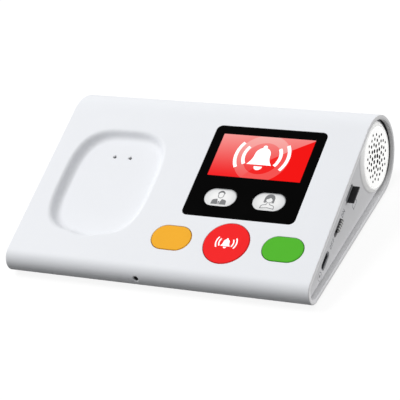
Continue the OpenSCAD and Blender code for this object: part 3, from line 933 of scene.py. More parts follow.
class Shell:
    """Gathers the points and faces of one closed piece."""

    crease = math.radians(38)
    same_point = 1e-8

    def __init__(self) -> None:
        """Start with nothing."""
        self.points: list[Triple] = []
        self.faces: list[list[int]] = []

    def add(self, points: Points) -> list[int]:
        """Add points and give their numbers."""
        self.points.extend(map(tuple, points))
        return list(range(len(self.points) - len(points), len(self.points)))

    def loop(self, plane: Plane, outline: Outline, height: float) -> Loop:
        """Add an outline at a height over a plane."""
        return Loop(self.add(plane.at(outline.points, height)), outline.points)

    def bridge(self, one: Sequence[int], other: Sequence[int]) -> None:
        """Join two open lines of as many points with four-sided faces."""
        self.faces += [[a, b, d, c] for a, b, c, d in zip(one, one[1:], other, other[1:], strict=False)]

    def chain(self, loops: Sequence[Loop]) -> None:
        """Join each closed loop to the next."""
        for one, other in zip(loops, loops[1:], strict=False):
            self.bridge([*one.index, one.index[0]], [*other.index, other.index[0]])

    def wall(
        self, plane: Plane, line: Outline, span: Pair, edge: float, side: int, steps: int = 5
    ) -> tuple[Loop, Loop]:
        """Add a wall with a rounded edge at its top.

        Args:
            plane: the plane that the wall stands on.
            line: the wall's outline.
            span: the height of the flat that the edge starts from, and the wall's lower end.
            edge: the edge's radius.
            side: 1 for the wall of an opening, -1 for the wall of something that stands out.
            steps: the number of steps in the edge.

        Returns:
            The loops where the flat ends and where the wall ends.
        """
        rings = []
        for a in np.linspace(0, math.pi / 2, steps + 1):
            grown = line.grown(side * edge * (1 - math.sin(a)))
            rings.append(self.loop(plane, grown, span[0] - edge * (1 - math.cos(a))))
        rings.append(self.loop(plane, line, span[1]))
        self.chain(rings)
        return rings[0], rings[-1]

    def fill(
        self,
        outer: Loop,
        holes: Sequence[Loop] = (),
        inner: Points | None = None,
        lines: Sequence[tuple[int, int]] = (),
        at: Callable[[Points], Points] | None = None,
    ) -> None:
        """Fill the space between a loop and the holes in it with triangles.

        Args:
            outer: the loop round it.
            holes: the loops inside that stay open.
            inner: more points of the plan to use.
            lines: pairs of point numbers to keep as edges, counted through outer, holes and inner.
            at: places the inner points in the part's frame.
        """
        loops = [outer, *holes]
        index = [i for one in loops for i in one.index]
        plan = [one.plan for one in loops]
        spans: list[tuple[int, int]] = []
        for one in loops:
            n, first = len(one.index), len(spans)
            spans += [(first + k, first + (k + 1) % n) for k in range(n)]
        if inner is not None and at is not None:
            index += self.add(at(inner))
            plan.append(inner)
        corners = [Vector(p) for p in np.vstack(plan)]
        verts, _, faces, origin, _, _ = delaunay_2d_cdt(corners, spans + list(lines), [], 1, 1e-7)
        crossed = [tuple(v) for v, known in zip(verts, origin, strict=True) if not known]
        if crossed:
            raise ValueError(f"lines cross at {crossed[:3]}")
        flat = np.array([tuple(v) for v in verts])
        middles = np.array([flat[f].mean(0) for f in faces])
        keep = within(middles, outer.plan)
        for hole in holes:
            keep &= ~within(middles, hole.plan)
        for face, kept in zip(faces, keep, strict=True):
            if kept:
                self.faces.append([index[origin[v][0]] for v in face])

    def piece(
        self, name: str, finish: bpy.types.Material, body: str, slot: str, replaces: str | None = None
    ) -> None:
        """Make the object, with smooth shading that stays crisp at its sharp edges.

        Args:
            name: its name.
            finish: its material.
            body: the CAD body that it rides on.
            slot: the record's material slot for it; not used.
            replaces: the CAD node that it stands for.
        """
        mesh = bpy.data.meshes.new(name)
        mesh.from_pydata([tuple(c * MM for c in p) for p in self.points], [], self.faces)
        work = bmesh.new()
        work.from_mesh(mesh)
        bmesh.ops.remove_doubles(work, verts=work.verts, dist=self.same_point)
        bmesh.ops.recalc_face_normals(work, faces=work.faces)
        loose = sum(len(e.link_faces) != 2 for e in work.edges)
        if loose:
            log.warning("%s has %d edges that are not between two faces", name, loose)
        work.to_mesh(mesh)
        work.free()
        mesh.shade_smooth()
        mesh.set_sharp_from_angle(angle=self.crease)
        mesh.materials.append(finish)
        obj = bpy.data.objects.new(name, mesh)
        bpy.context.scene.collection.objects.link(obj)
        obj.modifiers.new("even_normals", "WEIGHTED_NORMAL").keep_sharp = True
        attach(obj, body)
        if replaces:
            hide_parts(replaces)


# ---- Flat prints ----


def stroke(points: Sequence[Pair], width: float) -> Points:
    """Give the outline of an open line of this width, with square ends.

    Args:
        points: the line's corners.
        width: its width.

    Returns:
        The outline, closed.
    """
    line = np.array(points, float)
    steps = np.diff(line, axis=0)
    steps /= np.linalg.norm(steps, axis=1, keepdims=True)
    aside = np.stack([-steps[:, 1], steps[:, 0]], 1)
    before, after = np.vstack([aside[:1], aside]), np.vstack([aside, aside[-1:]])
    mitre = before + after
    mitre *= 2 / (mitre**2).sum(1, keepdims=True)
    return np.vstack([line - mitre * width / 2, (line + mitre * width / 2)[::-1]])


def arc_line(x: float, y: float, radius: float, first: float, last: float, steps: int = 16) -> list[Pair]:
    """Give points on an arc between two angles in degrees."""
    return [(x + radius * a, y + radius * b) for a, b in unit(np.radians(np.linspace(first, last, steps + 1)))]


def mirrored(line: Sequence[Pair]) -> list[Pair]:
    """Give the same line on the other side."""
    return [(-x, y) for x, y in line]


@dataclass
class Print:
    """Thin solid marks on a plane: each is an outline with the holes in it."""

    plane: Plane
    middle: Pair
    height: float
    thick: float = 0.03
    scale: float = 1.0
    turn: float = 0.0
    marks: list[list[Points]] = field(default_factory=list)

    def mark(self, outer: Points | Sequence[Pair], *holes: Points | Sequence[Pair]) -> None:
        """Add one mark, in the print's own units."""
        self.marks.append([np.array(line, float) for line in (outer, *holes)])

    def strokes(self, width: float, *lines: Sequence[Pair]) -> None:
        """Add marks that are open lines of one width."""
        for line in lines:
            self.mark(stroke(line, width))

    def placed(self, line: Points) -> Points:
        """Move a mark's line to its place in the plane."""
        return line * self.scale @ spin(self.turn) + np.array(self.middle)

    def piece(self, name: str, finish: bpy.types.Material, body: str, slot: str) -> None:
        """Make the marks as one object.

        Args:
            name: its name.
            finish: its material.
            body: the CAD body that it rides on.
            slot: the record's material slot for it.
        """
        shell = Shell()
        for mark in self.marks:
            lines = [self.placed(line) for line in mark]
            levels = []
            for height in (self.height, self.height - self.thick):
                loops = [Loop(shell.add(self.plane.at(line, height)), line) for line in lines]
                shell.fill(loops[0], loops[1:])
                levels.append(loops)
            for pair in zip(*levels, strict=True):
                shell.chain(pair)
        shell.piece(name, finish, body, slot)


@dataclass
class Bell(Print):
    """A ringing bell with two sound waves on each side, 11 units high and 26 wide."""

    shoulder: float = 1.1
    wide: float = 3.2
    waves: Pair = (7.4, 10.6)

    def __post_init__(self) -> None:
        """Draw it."""
        rows = np.linspace(-3.4, 4.6, 40)
        dome = self.wide * np.sqrt(np.clip(1 - ((rows - self.shoulder) / 3.5) ** 2, 0, 1))
        flare = self.wide + 0.092 * np.clip(self.shoulder - rows, 0, 9) ** 2
        right = np.stack([np.where(rows > self.shoulder, dome, flare), rows], 1)
        self.mark([*right, *mirrored(right[-2::-1])])
        self.mark(arc_line(0, -4.15, 1.7, 180, 360))
        self.mark(arc_line(0, 4.9, 0.85, -35, 215))
        for radius in self.waves:
            self.strokes(1.35, *(arc_line(0, 0.6, radius, side - 33, side + 33) for side in (0, 180)))


# ---- The sub-assemblies ----


@dataclass
class Cradle:
    """The pendant's hollow: a squared oval with a finger notch and an S-shaped bank."""

    middle: Pair = (-41.4, 42.8)
    width: float = 51.0
    length: float = 62.0
    depth: float = 3.9
    bank: float = 4.6
    ease: float = 0.45
    foot: float = 1.0
    power: float = 3.3
    notch_half: float = 8.0
    notch_reach: float = 1.6
    notch_power: float = 1.3
    pin_pitch: float = 8.2
    pin_s: float = 59.5
    pin_hole: float = 0.95
    pin_edge: float = 0.12
    tub_more: Pair = (-0.2, 3.6)
    tub_corner: float = 16.0
    tub_h: float = -5.9
    points: int = 240
    rings: int = 22

    def outline(self, inset: float) -> Outline:
        """Give the oval this far inside its rim.

        Args:
            inset: how far.

        Returns:
            The oval with its notch.
        """
        a = np.linspace(0, 2 * math.pi, self.points, endpoint=False)
        hx, hs = self.width / 2 - inset, self.length / 2 - inset
        r = ((np.abs(np.cos(a)) / hx) ** self.power + (np.abs(np.sin(a)) / hs) ** self.power) ** (-1 / self.power)
        x, s = r * np.cos(a), r * np.sin(a)
        t = np.clip(np.abs(x / self.notch_half), 0, 1)
        shoulder = np.cos(t * math.pi / 2) ** self.notch_power
        s = s - np.where(s < 0, self.notch_reach * shoulder, 0)
        return Outline.along(np.stack([x + self.middle[0], s + self.middle[1]], 1))

    def pin_holes(self) -> list[Outline]:
        """Give the holes of the two contacts."""
        hole = Outline.circle(self.pin_hole, 24)
        return [hole.moved(self.middle[0] + side * self.pin_pitch / 2, self.pin_s) for side in (-1, 1)]

    def sink(self, shell: Shell) -> tuple[Loop, Loop]:
        """Build the hollow and the tub under it.

        Args:
            shell: the cover's mesh.

        Returns:
            The loops that the face and the cover's inner skin leave open for it.
        """
        loops = []
        for t in np.linspace(0, 1, self.rings + 1):
            drop = self.depth * (1 - math.cos(math.pi * t)) / 2
            eased = t + self.ease * math.sin(2 * math.pi * t) / (2 * math.pi)
            loops.append(shell.loop(FACE, self.outline(self.bank * eased + self.foot * t**3), -drop))
        shell.chain(loops)
        span = (-self.depth, self.tub_h)
        holes = [shell.wall(FACE, ring, span, self.pin_edge, 1, 3) for ring in self.pin_holes()]
        shell.fill(loops[-1], [top for top, _ in holes])
        size = (self.width + self.tub_more[0], self.length + self.tub_more[1])
        tub = Outline.rounded(*size, self.tub_corner, 16).moved(*self.middle)
        sides = [shell.loop(FACE, tub, height) for height in (-BODY.wall, self.tub_h)]
        shell.chain(sides)
        shell.fill(sides[1], [end for _, end in holes])
        return loops[0], sides[0]


@dataclass
class KeyShape:
    """One key: where it is, its outline and its height."""

    name: str
    body: str
    slot: str
    place: Pair
    size: Pair
    top: float
    edge: float = 0.3

    def outline(self, grown: float = 0.0) -> Outline:
        """Give the key's outline in the face's plane, made larger all round."""
        w, l = (side + 2 * grown for side in self.size)
        return (Outline.circle(w / 2, 96) if self.size[0] == self.size[1] else Outline.pill(w, l)).moved(*self.place)


class Key(Enum):
    """The five keys."""

    HELP = KeyShape("help_button", "help_key", "key_red", (30.55, 15.1), (21.4, 21.4), 0.15)
    YELLOW = KeyShape("yellow_button", "yellow_key", "key_yellow", (3.3, 15.1), (19.2, 12.8), 0.15)
    GREEN = KeyShape("green_button", "green_key", "key_green", (57.8, 15.1), (19.2, 12.8), 0.15)
    LEFT_PHOTO = KeyShape("left_photo_button", "left_photo_key", "key_silver", (18.5, 39.6), (15.9, 9.8), -0.35)
    RIGHT_PHOTO = KeyShape("right_photo_button", "right_photo_key", "key_silver", (42.45, 39.6), (15.9, 9.8), -0.35)

    @classmethod
    def on_cover(cls) -> list["Key"]:
        """Give the keys that come through the cover itself."""
        return [cls.HELP, cls.YELLOW, cls.GREEN]

    @classmethod
    def in_lens(cls) -> list["Key"]:
        """Give the keys that come through the lens."""
        return [cls.LEFT_PHOTO, cls.RIGHT_PHOTO]


@dataclass
class Screen:
    """The lens and the lit picture behind it."""

    palette: Palette
    middle: Pair = (30.55, 54.1)
    size: Pair = (55.4, 51.5)
    radius: float = 2.8
    thick: float = 1.2
    edge: float = 0.12
    picture_middle: Pair = (30.55, 63.2)
    picture: Pair = (45.9, 24.0)
    picture_corner: float = 0.15
    picture_edge: float = 0.03
    gap: float = 0.1
    key_gap: float = 0.2
    key_edge: float = 0.15
    glass_h: float = -0.04
    glass_in: float = 0.02
    module: Triple = (50.0, 28.8, 0.6)
    module_depth: float = 4.7

    def opening(self, grown: float) -> Outline:
        """Give the outline of the recess or, shrunk by the gap, of the lens."""
        w, l = (side + 2 * grown for side in self.size)
        return Outline.rounded(w, l, self.radius + grown).moved(*self.middle)

    def window(self, grown: float = 0.0) -> Outline:
        """Give the picture's outline."""
        w, l = (side + 2 * grown for side in self.picture)
        return Outline.rounded(w, l, self.picture_corner + max(grown, 0), 3).moved(*self.picture_middle)

    def build(self) -> None:
        """Build the lens and the display module."""
        lens, span = Shell(), (0, -self.thick)
        top, bottom = lens.wall(FACE, self.opening(0), span, self.edge, -1, 3)
        rings = [(self.window(), self.picture_edge)]
        rings += [(key.value.outline(self.key_gap), self.key_edge) for key in Key.in_lens()]
        holes = [lens.wall(FACE, ring, span, edge, 1, 3) for ring, edge in rings]
        lens.fill(top, [hole for hole, _ in holes])
        lens.fill(bottom, [end for _, end in holes])
        lens.piece("screen_cover", self.palette["screen_black"], "housing", "lens_black", "screen_lens")

        module = Shell()
        glass, step = module.wall(FACE, self.window(-self.glass_in), (self.glass_h, -BODY.wall), self.glass_in, -1, 1)
        line = Outline.rounded(*self.module, 4).moved(*self.picture_middle)
        rim, back = (module.loop(FACE, line, -depth) for depth in (BODY.wall, self.module_depth))
        module.fill(glass)
        module.fill(rim, [step])
        module.chain([rim, back])
        module.fill(back)
        lit = Picture("lit_picture", self.picture_middle, (self.picture[0] / 2, self.picture[1] / 2))
        module.piece("display_picture", lit.make(), "housing", "display", "display_module")
        sign = Bell(FACE, self.picture_middle, -0.01, 0.02, 1.22)
        sign.piece("display_sign", self.palette["print_white"], "housing", "display")


@dataclass
class Housing:
    """The wrap cover with its openings, and the plain left panel."""

    palette: Palette
    cradle: Cradle
    screen: Screen
    rim_edge: float = 0.4
    inner_edge: float = 0.3
    rib_in: float = 1.5
    rib_high: float = 1.3
    key_gap: float = 0.3
    key_edge: float = 0.2
    recess_edge: float = 0.15
    window_gap: float = 0.4
    mic_x: float = -8.0
    mic_radius: float = 1.3
    mic_edge: float = 0.25
    mic_halo: float = 0.8
    mic_reach: float = 1.6
    hatch: Triple = (66.0, -45.0, 32.0)
    hatch_corner: Pair = (6.0, 0.6)
    hatch_thick: float = 1.2
    ledge: float = 5.0

    def end_path(self) -> list[Pair]:
        """Give the way round an end rim: distance out and inset, from the outer to the inner skin.

        Returns:
            One pair for each ring of the section.
        """
        half, wall = BODY.width / 2, BODY.wall
        turn = np.linspace(0, math.pi / 2, 6)
        outer = [(half - self.rim_edge * (1 - math.sin(a)), self.rim_edge * (1 - math.cos(a))) for a in turn]
        inner = [(half - self.inner_edge * (1 - math.cos(a)), wall - self.inner_edge * (1 - math.sin(a))) for a in turn]
        stop, high = BODY.panel_back, wall + self.rib_high
        return [*outer, *inner, (stop, wall), (stop, high), (stop - self.rib_in, high), (stop - self.rib_in, wall)]

    def mic_ring(self, radius: float, r: float) -> Points:
        """Give a ring of the microphone's hole in the plan of the nose's arc of radius r."""
        x, z = Outline.circle(radius, 28).points.T
        return np.stack([self.mic_x + x, r * np.arccos(z / r)], 1)

    def mic_hole(self, shell: Shell) -> list[Loop]:
        """Build the microphone's hole through the nose.

        Args:
            shell: the cover's mesh.

        Returns:
            Its loops, the outer skin's first and the inner skin's last.
        """
        turn = np.linspace(0, math.pi / 2, 4)
        rings = [(self.mic_edge * (1 - math.sin(a)), self.mic_edge * (1 - math.cos(a))) for a in turn]
        mic = []
        for more, inset in [*rings, (0.0, BODY.wall)]:
            r = BODY.nose_radius - inset
            plan = self.mic_ring(self.mic_radius + more, r)
            mic.append(Loop(shell.add(on_nose(plan, r)), plan))
        shell.chain(mic)
        return mic

    def nose_skin(self, shell: Shell, left: list[int], right: list[int], x: float, r: float, ring: Loop) -> None:
        """Fill the nose's arc between two rims, leaving the microphone's hole open.

        Args:
            shell: the cover's mesh.
            left: the left rim's points.
            right: the right rim's points.
            x: how far out the rims are.
            r: the arc's radius.
            ring: the hole's loop.
        """
        a = BODY.arc(False)
        n = len(a)
        sides = np.stack([np.full(n, x), r * a], 1)
        outer = Loop([*left[-n:], *right[:-n - 1:-1]], np.vstack([sides * (-1, 1), sides[::-1]]))
        reach = self.mic_radius + self.mic_reach
        inner, lines = [], []
        first = 2 * n + len(ring.index)
        for k in range(1, n - 1):
            if abs(r * (a[k] - math.pi / 2)) < reach:
                lines += [(k, first + len(inner)), (first + len(inner) + 1, 2 * n - 1 - k)]
                inner += [(self.mic_x - reach, r * a[k]), (self.mic_x + reach, r * a[k])]
            else:
                lines.append((k, 2 * n - 1 - k))
        more = np.vstack([inner, self.mic_ring(self.mic_radius + self.mic_halo, r)])
        shell.fill(outer, [ring], more, lines, lambda plan: on_nose(plan, r))

    def hatch_line(self, inset: float) -> Outline:
        """Give the underside's opening.

        Args:
            inset: how far inside it.

        Returns:
            The line, with round corners.
        """
        (half, y0, y1), (corner, less) = self.hatch, self.hatch_corner
        line = Outline.rounded(2 * (half - inset), y1 - y0 - 2 * inset, corner - less * inset, 8)
        return line.moved(0, (y0 + y1) / 2)

    def skin(self, shell: Shell, left: list[int], right: list[int], x: float, face: Sequence[Loop], base: Loop) -> None:
        """Close one skin between two rims: the rear arc, the face and the underside.

        Args:
            shell: the cover's mesh.
            left: the left rim's points.
            right: the right rim's points.
            x: how far out the rims are.
            face: the loops that the face leaves open.
            base: the loop that the underside leaves open.
        """
        n = BODY.rear_steps
        shell.bridge(left[: n + 1], right[: n + 1])
        flats = (-1, 0, 0.0, BODY.slope, face), (n, n + 1, BODY.rear[0], BODY.nose[0], [base])
        for k, after, low, high, holes in flats:
            corners = np.array([(-x, low), (x, low), (x, high), (-x, high)])
            shell.fill(Loop([left[k], right[k], right[after], left[after]], corners), holes)

    def recess(self, shell: Shell) -> tuple[Loop, list[Loop]]:
        """Build the lens's recess and the openings through its floor.

        Args:
            shell: the cover's mesh.

        Returns:
            The loop that the face leaves open, and those that the inner skin leaves open.
        """
        s = self.screen
        edge, floor = shell.wall(FACE, s.opening(s.gap), (0, -s.thick), self.recess_edge, 1, 3)
        rings = [s.window(self.window_gap), *(key.value.outline(self.key_gap) for key in Key.in_lens())]
        holes = [[shell.loop(FACE, ring, -depth) for depth in (s.thick, BODY.wall)] for ring in rings]
        for pair in holes:
            shell.chain(pair)
        shell.fill(floor, [top for top, _ in holes])
        return edge, [end for _, end in holes]

    def build(self) -> None:
        """Build the cover and the left panel."""
        shell = Shell()
        path = self.end_path()
        rims = [
            [Loop(shell.add(RIGHT_END.at(BODY.ring(inset), side * x)), BODY.ring(inset)) for x, inset in path]
            for side in (-1, 1)
        ]
        for rings in rims:
            shell.chain(rings)

        hollow, under = self.cradle.sink(shell)
        recess, inner = self.recess(shell)
        lines = [key.value.outline(self.key_gap) for key in Key.on_cover()]
        holes = [shell.wall(FACE, line, (0, -BODY.wall), self.key_edge, 1, 4) for line in lines]
        face = [hollow, recess, *(top for top, _ in holes)]
        inner += [under, *(end for _, end in holes)]

        levels = [(0, 0), (0, self.hatch_thick), (self.ledge, self.hatch_thick), (self.ledge, BODY.wall)]
        steps = [shell.loop(LEVEL, self.hatch_line(inset), BODY.foot + up) for inset, up in levels]
        shell.chain(steps)
        mic = self.mic_hole(shell)
        for k, open_loops in ((0, face), (-1, inner)):
            left, right, (x, inset) = rims[0][k].index, rims[1][k].index, path[k]
            self.skin(shell, left, right, x, open_loops, steps[k])
            self.nose_skin(shell, left, right, x, BODY.nose_radius - inset, mic[k])
        shell.piece("wrap_shell", self.palette["shell_white"], "housing", "shell_white", "wrap_cover")
        self.left_panel()

    def left_panel(self) -> None:
        """Build the plain panel in the left end."""
        shell = Shell()
        line = Outline.along(BODY.ring(BODY.wall + BODY.panel_gap)[::-1])
        for side in shell.wall(LEFT_END, line, (BODY.panel_x, BODY.panel_back), BODY.panel_edge, -1, 3):
            shell.fill(side)
        shell.piece("left_panel_face", self.palette["panel_grey"], "housing", "panel_grey", "left_end_panel")


@dataclass
class CallKeys:
    """The five keys' caps and the signs on them."""

    palette: Palette
    gap: float = 0.3
    flange: float = 1.0
    flange_top: float = -2.4
    flange_thick: float = 1.2
    sign_up: float = 0.02
    sign_thick: float = 0.04
    line_wide: float = 0.34
    sign_high: float = 0.1

    def cap(self, key: Key, finish: bpy.types.Material) -> None:
        """Build one key with a round edge and the flange that stops it under the cover.

        Args:
            key: the key.
            finish: its material.
        """
        shape, shell = key.value, Shell()
        line, wide = shape.outline(), shape.outline(self.gap + self.flange)
        top, neck = shell.wall(FACE, line, (shape.top, self.flange_top), shape.edge, -1)
        rim, foot = (shell.loop(FACE, wide, self.flange_top - down) for down in (0, self.flange_thick))
        shell.fill(top)
        shell.chain([neck, rim, foot])
        shell.fill(foot)
        shell.piece(f"{shape.name}_cap", finish, shape.body, shape.slot, shape.name)

    def build(self) -> None:
        """Build all the keys and their signs."""
        for key in Key.on_cover():
            self.cap(key, self.palette[key.value.slot])
        for key in Key.in_lens():
            shape = key.value
            pearl = Pearl(f"{shape.name}_pearl", shape.place, (shape.size[0] / 2, shape.size[1] / 2))
            self.cap(key, pearl.make())
        shape = Key.HELP.value
        sign = Bell(FACE, shape.place, shape.top + self.sign_up, self.sign_thick, 0.47)
        sign.piece("help_sign", self.palette["print_white"], shape.body, shape.slot)
        self.short_haired(self.blank(Key.LEFT_PHOTO))
        self.long_haired(self.blank(Key.RIGHT_PHOTO))

    def blank(self, key: Key) -> Print:
        """Start the sign on one of the silver keys."""
        (x, s), top = key.value.place, key.value.top
        return Print(FACE, (x, s + self.sign_high), top + self.sign_up, self.sign_thick)

    def short_haired(self, sign: Print) -> None:
        """Draw a plain head and shoulders with short hair and a jacket.

        Args:
            sign: what it is drawn on.
        """
        head = Outline.pill(3.9, 2.9, 14).moved(0, 1.3, math.pi / 2)
        sign.mark(head.points, head.grown(-0.32).points)
        sign.mark([*arc_line(0, 1.75, 1.75, -8, 188, 14), *arc_line(0.1, 0.6, 1.95, 138, 40, 8)])
        arm = [(-3.7, -4.0), (-3.6, -2.9), *arc_line(-2.3, -2.6, 1.3, 190, 110, 6)]
        jacket = [*arm, (-1.1, -1.0), (-0.45, -3.0), (-0.45, -4.0)]
        sign.mark(jacket[::-1])
        sign.mark(mirrored(jacket))
        sign.mark([(-0.2, -4.0), (0.2, -4.0), (0.32, -2.5), (0.0, -1.9), (-0.32, -2.5)])
        shape = Key.LEFT_PHOTO.value
        sign.piece("left_photo_sign", self.palette["print_dark"], shape.body, shape.slot)

    def long_haired(self, sign: Print) -> None:
        """Draw a plain head and shoulders with chin-length hair.

        Args:
            sign: what it is drawn on.
        """
        bob = [(2.5, -0.6), *arc_line(0, 1.5, 2.5, 0, 180, 20), (-2.5, -0.6), (-1.5, -0.9)]
        fringe = [(-1.45, 1.1), (-0.5, 1.5), (0.4, 2.1), (1.0, 1.5), (1.45, 1.0), (1.5, -0.9)]
        sign.mark([*bob, *fringe])
        sign.strokes(0.3, arc_line(0, 0.75, 1.5, 200, 340, 12))
        bust = [(-3.3, -4.0), (-3.2, -3.2), *arc_line(-2.1, -3.1, 1.1, 170, 100, 6), (-0.85, -1.7), (-0.8, -1.0)]
        sign.strokes(self.line_wide, bust, mirrored(bust), [(-3.3, -3.85), (0, -3.4), (3.3, -3.85)])
        shape = Key.RIGHT_PHOTO.value
        sign.piece("right_photo_sign", self.palette["print_dark"], shape.body, shape.slot)


@dataclass
class RightEnd:
    """The recessed right panel, the speaker's disc and the marks beside the ports."""

    palette: Palette
    grille_depth: float = 1.1
    disc_radius: float = 13.9
    disc_thick: float = 1.0
    disc_edge: float = 0.45
    base_radius: float = 16.6
    hole_count: int = 56
    hole_size: Triple = (1.1, 0.04, 0.03)
    pitch: float = 1.55
    golden: float = 137.508
    usb: Pair = (18.8, -11.2)
    usb_hole: Triple = (9.5, 3.6, 0.35)
    switch: Pair = (36.7, -11.2)
    switch_hole: Triple = (10.0, 2.6, 0.2)
    card: Pair = (54.9, -10.0)
    card_hole: Triple = (9.4, 2.6, 0.15)
    card_corner: float = 0.3
    reset: Pair = (10.6, -11.3)
    pinhole: Pair = (0.6, 0.12)
    ring_edges: Pair = (2.1, 1.8)
    ring_floor: Pair = (2.04, 1.86)
    ring_deep: float = 0.25
    pen: float = 0.17
    letter_pitch: float = 0.95
    ink_up: float = 0.02
    ink_in: float = 0.02

    @property
    def disc_x(self) -> float:
        """How far out the disc's front is."""
        return BODY.width / 2 - self.grille_depth

    def cone_rings(self) -> list[Pair]:
        """Give the cone round the speaker: radius and how far out, from the panel inwards.

        Returns:
            One pair for each ring.
        """
        front, rim, r = BODY.panel_x, self.disc_x, self.disc_radius
        foot = [(0.18, 0.0), (-0.03, 0.06), (-0.25, 0.24)]
        lip = [(1.1, 0.2), (0.95, 0.05), (0.75, 0.0), (0.3, 0.0), (0.14, 0.06), (0.1, 0.2)]
        seat = [(r + 0.1, rim - self.disc_thick), (r - 1.4, rim - self.disc_thick), (r - 1.4, BODY.panel_back)]
        return [
            *((self.base_radius + more, front + up) for more, up in foot),
            *((r + more, rim - down) for more, down in lip),
            *seat,
        ]

    def panel(self) -> None:
        """Build the panel with the cone round the speaker and every opening."""
        shell = Shell()
        span = BODY.panel_x, BODY.panel_back
        line = Outline.along(BODY.ring(BODY.wall + BODY.panel_gap)[::-1])
        edge, rear = shell.wall(RIGHT_END, line, span, BODY.panel_edge, -1, 3)
        (*usb, usb_edge), (*switch, switch_edge), (*card, card_edge) = self.usb_hole, self.switch_hole, self.card_hole
        rings = [
            (Outline.pill(*usb, 20), self.usb, usb_edge),
            (Outline.pill(*switch, 20), self.switch, switch_edge),
            (Outline.rounded(*card, self.card_corner, 4), self.card, card_edge),
        ]
        holes = [
            shell.wall(RIGHT_END, ring.moved(*beside(*spot), BODY.tilt), span, radius, 1, 4)
            for ring, spot, radius in rings
        ]
        place = beside(*self.reset)
        deep = self.ring_deep
        sizes = zip([self.ring_edges[0], *self.ring_floor, self.ring_edges[1]], (0, deep, deep, 0), strict=True)
        groove = [shell.loop(RIGHT_END, Outline.circle(r, 40).moved(*place), BODY.panel_x - d) for r, d in sizes]
        shell.chain(groove)
        radius, bevel = self.pinhole
        mouth, end = shell.wall(RIGHT_END, Outline.circle(radius, 20).moved(*place), span, bevel, 1, 4)
        shell.fill(groove[-1], [mouth])
        cone = [shell.loop(RIGHT_END, Outline.circle(r, 96).moved(*BODY.rear), x) for r, x in self.cone_rings()]
        shell.chain(cone)
        shell.fill(edge, [*(top for top, _ in holes), groove[0], cone[0]])
        shell.fill(rear, [*(back for _, back in holes), end, cone[-1]])
        shell.piece("right_panel_face", self.palette["panel_grey"], "housing", "panel_grey", "right_end_panel")

    def disc(self) -> None:
        """Build the perforated disc, its holes on a sunflower spiral and smaller outwards."""
        shell = Shell()
        span = self.disc_x, self.disc_x - self.disc_thick
        line = Outline.circle(self.disc_radius, 120).moved(*BODY.rear)
        edge, rear = shell.wall(RIGHT_END, line, span, self.disc_edge, -1, 6)
        (radius, less, bevel), holes = self.hole_size, []
        for k in range(self.hole_count):
            r, a = self.pitch * math.sqrt(k + 0.5), math.radians(k * self.golden)
            spot = (BODY.rear[0] + r * math.cos(a), BODY.rear[1] + r * math.sin(a))
            hole = Outline.circle(radius - less * r, 20).moved(*spot)
            holes.append(shell.wall(RIGHT_END, hole, span, bevel, 1, 2))
        shell.fill(edge, [top for top, _ in holes])
        shell.fill(rear, [end for _, end in holes])
        shell.piece("speaker_disc", self.palette["disc_white"], "housing", "grille_white", "speaker_grille")

    def word(self, name: str, letters: str, place: Pair, size: float) -> None:
        """Print a short word in thin strokes, read from the foot of the slope.

        Args:
            name: the piece's name.
            letters: the word.
            place: its middle, up the slope and out of the face.
            size: its height.
        """
        spot = Print(RIGHT_END, beside(*place), BODY.panel_x + self.ink_up, 0.03, size, BODY.tilt)
        for k, letter in enumerate(letters):
            x = (k - (len(letters) - 1) / 2) * self.letter_pitch
            if letter == "O":
                ring = Outline.pill(1.0, 0.66, 10).moved(x, 0, math.pi / 2)
                spot.mark(ring.points, ring.grown(-self.pen).points)
            elif letter == "N":
                spot.strokes(self.pen, [(x - 0.3, -0.5), (x - 0.3, 0.42), (x + 0.3, -0.42), (x + 0.3, 0.5)])
            elif letter == "F":
                stem = [(x - 0.28, -0.5), (x - 0.28, 0.42), (x + 0.3, 0.42)]
                spot.strokes(self.pen, stem, [(x - 0.19, 0.0), (x + 0.22, 0.0)])
        spot.piece(name, self.palette["print_grey"], "housing", "panel_grey")

    def marks(self) -> None:
        """Print ON, OFF, the card's sign and the ring round the pinhole."""
        self.word("mark_on", "ON", (44.5, -10.9), 2.3)
        self.word("mark_off", "OFF", (28.3, -11.2), 2.15)
        sign = Print(RIGHT_END, beside(55.4, -17.6), BODY.panel_x + self.ink_up, 0.03, 1.0, BODY.tilt)
        outer = [(-2.5, -1.7), (2.5, -1.7), (2.5, 1.7), (-1.1, 1.7), (-2.5, 0.4)]
        sign.mark(outer, [(x * 0.86, y * 0.8) for x, y in outer])
        sign.piece("mark_card", self.palette["print_grey"], "housing", "panel_grey")
        ring = Print(RIGHT_END, beside(*self.reset), BODY.panel_x - self.ring_deep + self.ink_up, 0.02)
        outer, inner = self.ring_floor
        ring.mark(Outline.circle(outer - self.ink_in, 40).points, Outline.circle(inner + self.ink_in, 40).points)
        ring.piece("mark_reset", self.palette["print_grey"], "housing", "panel_grey")

    def build(self) -> None:
        """Build the whole end."""
        self.panel()
        self.disc()
        self.marks()
        dress("usb_socket", Socket("usb_plated", self.usb).make())


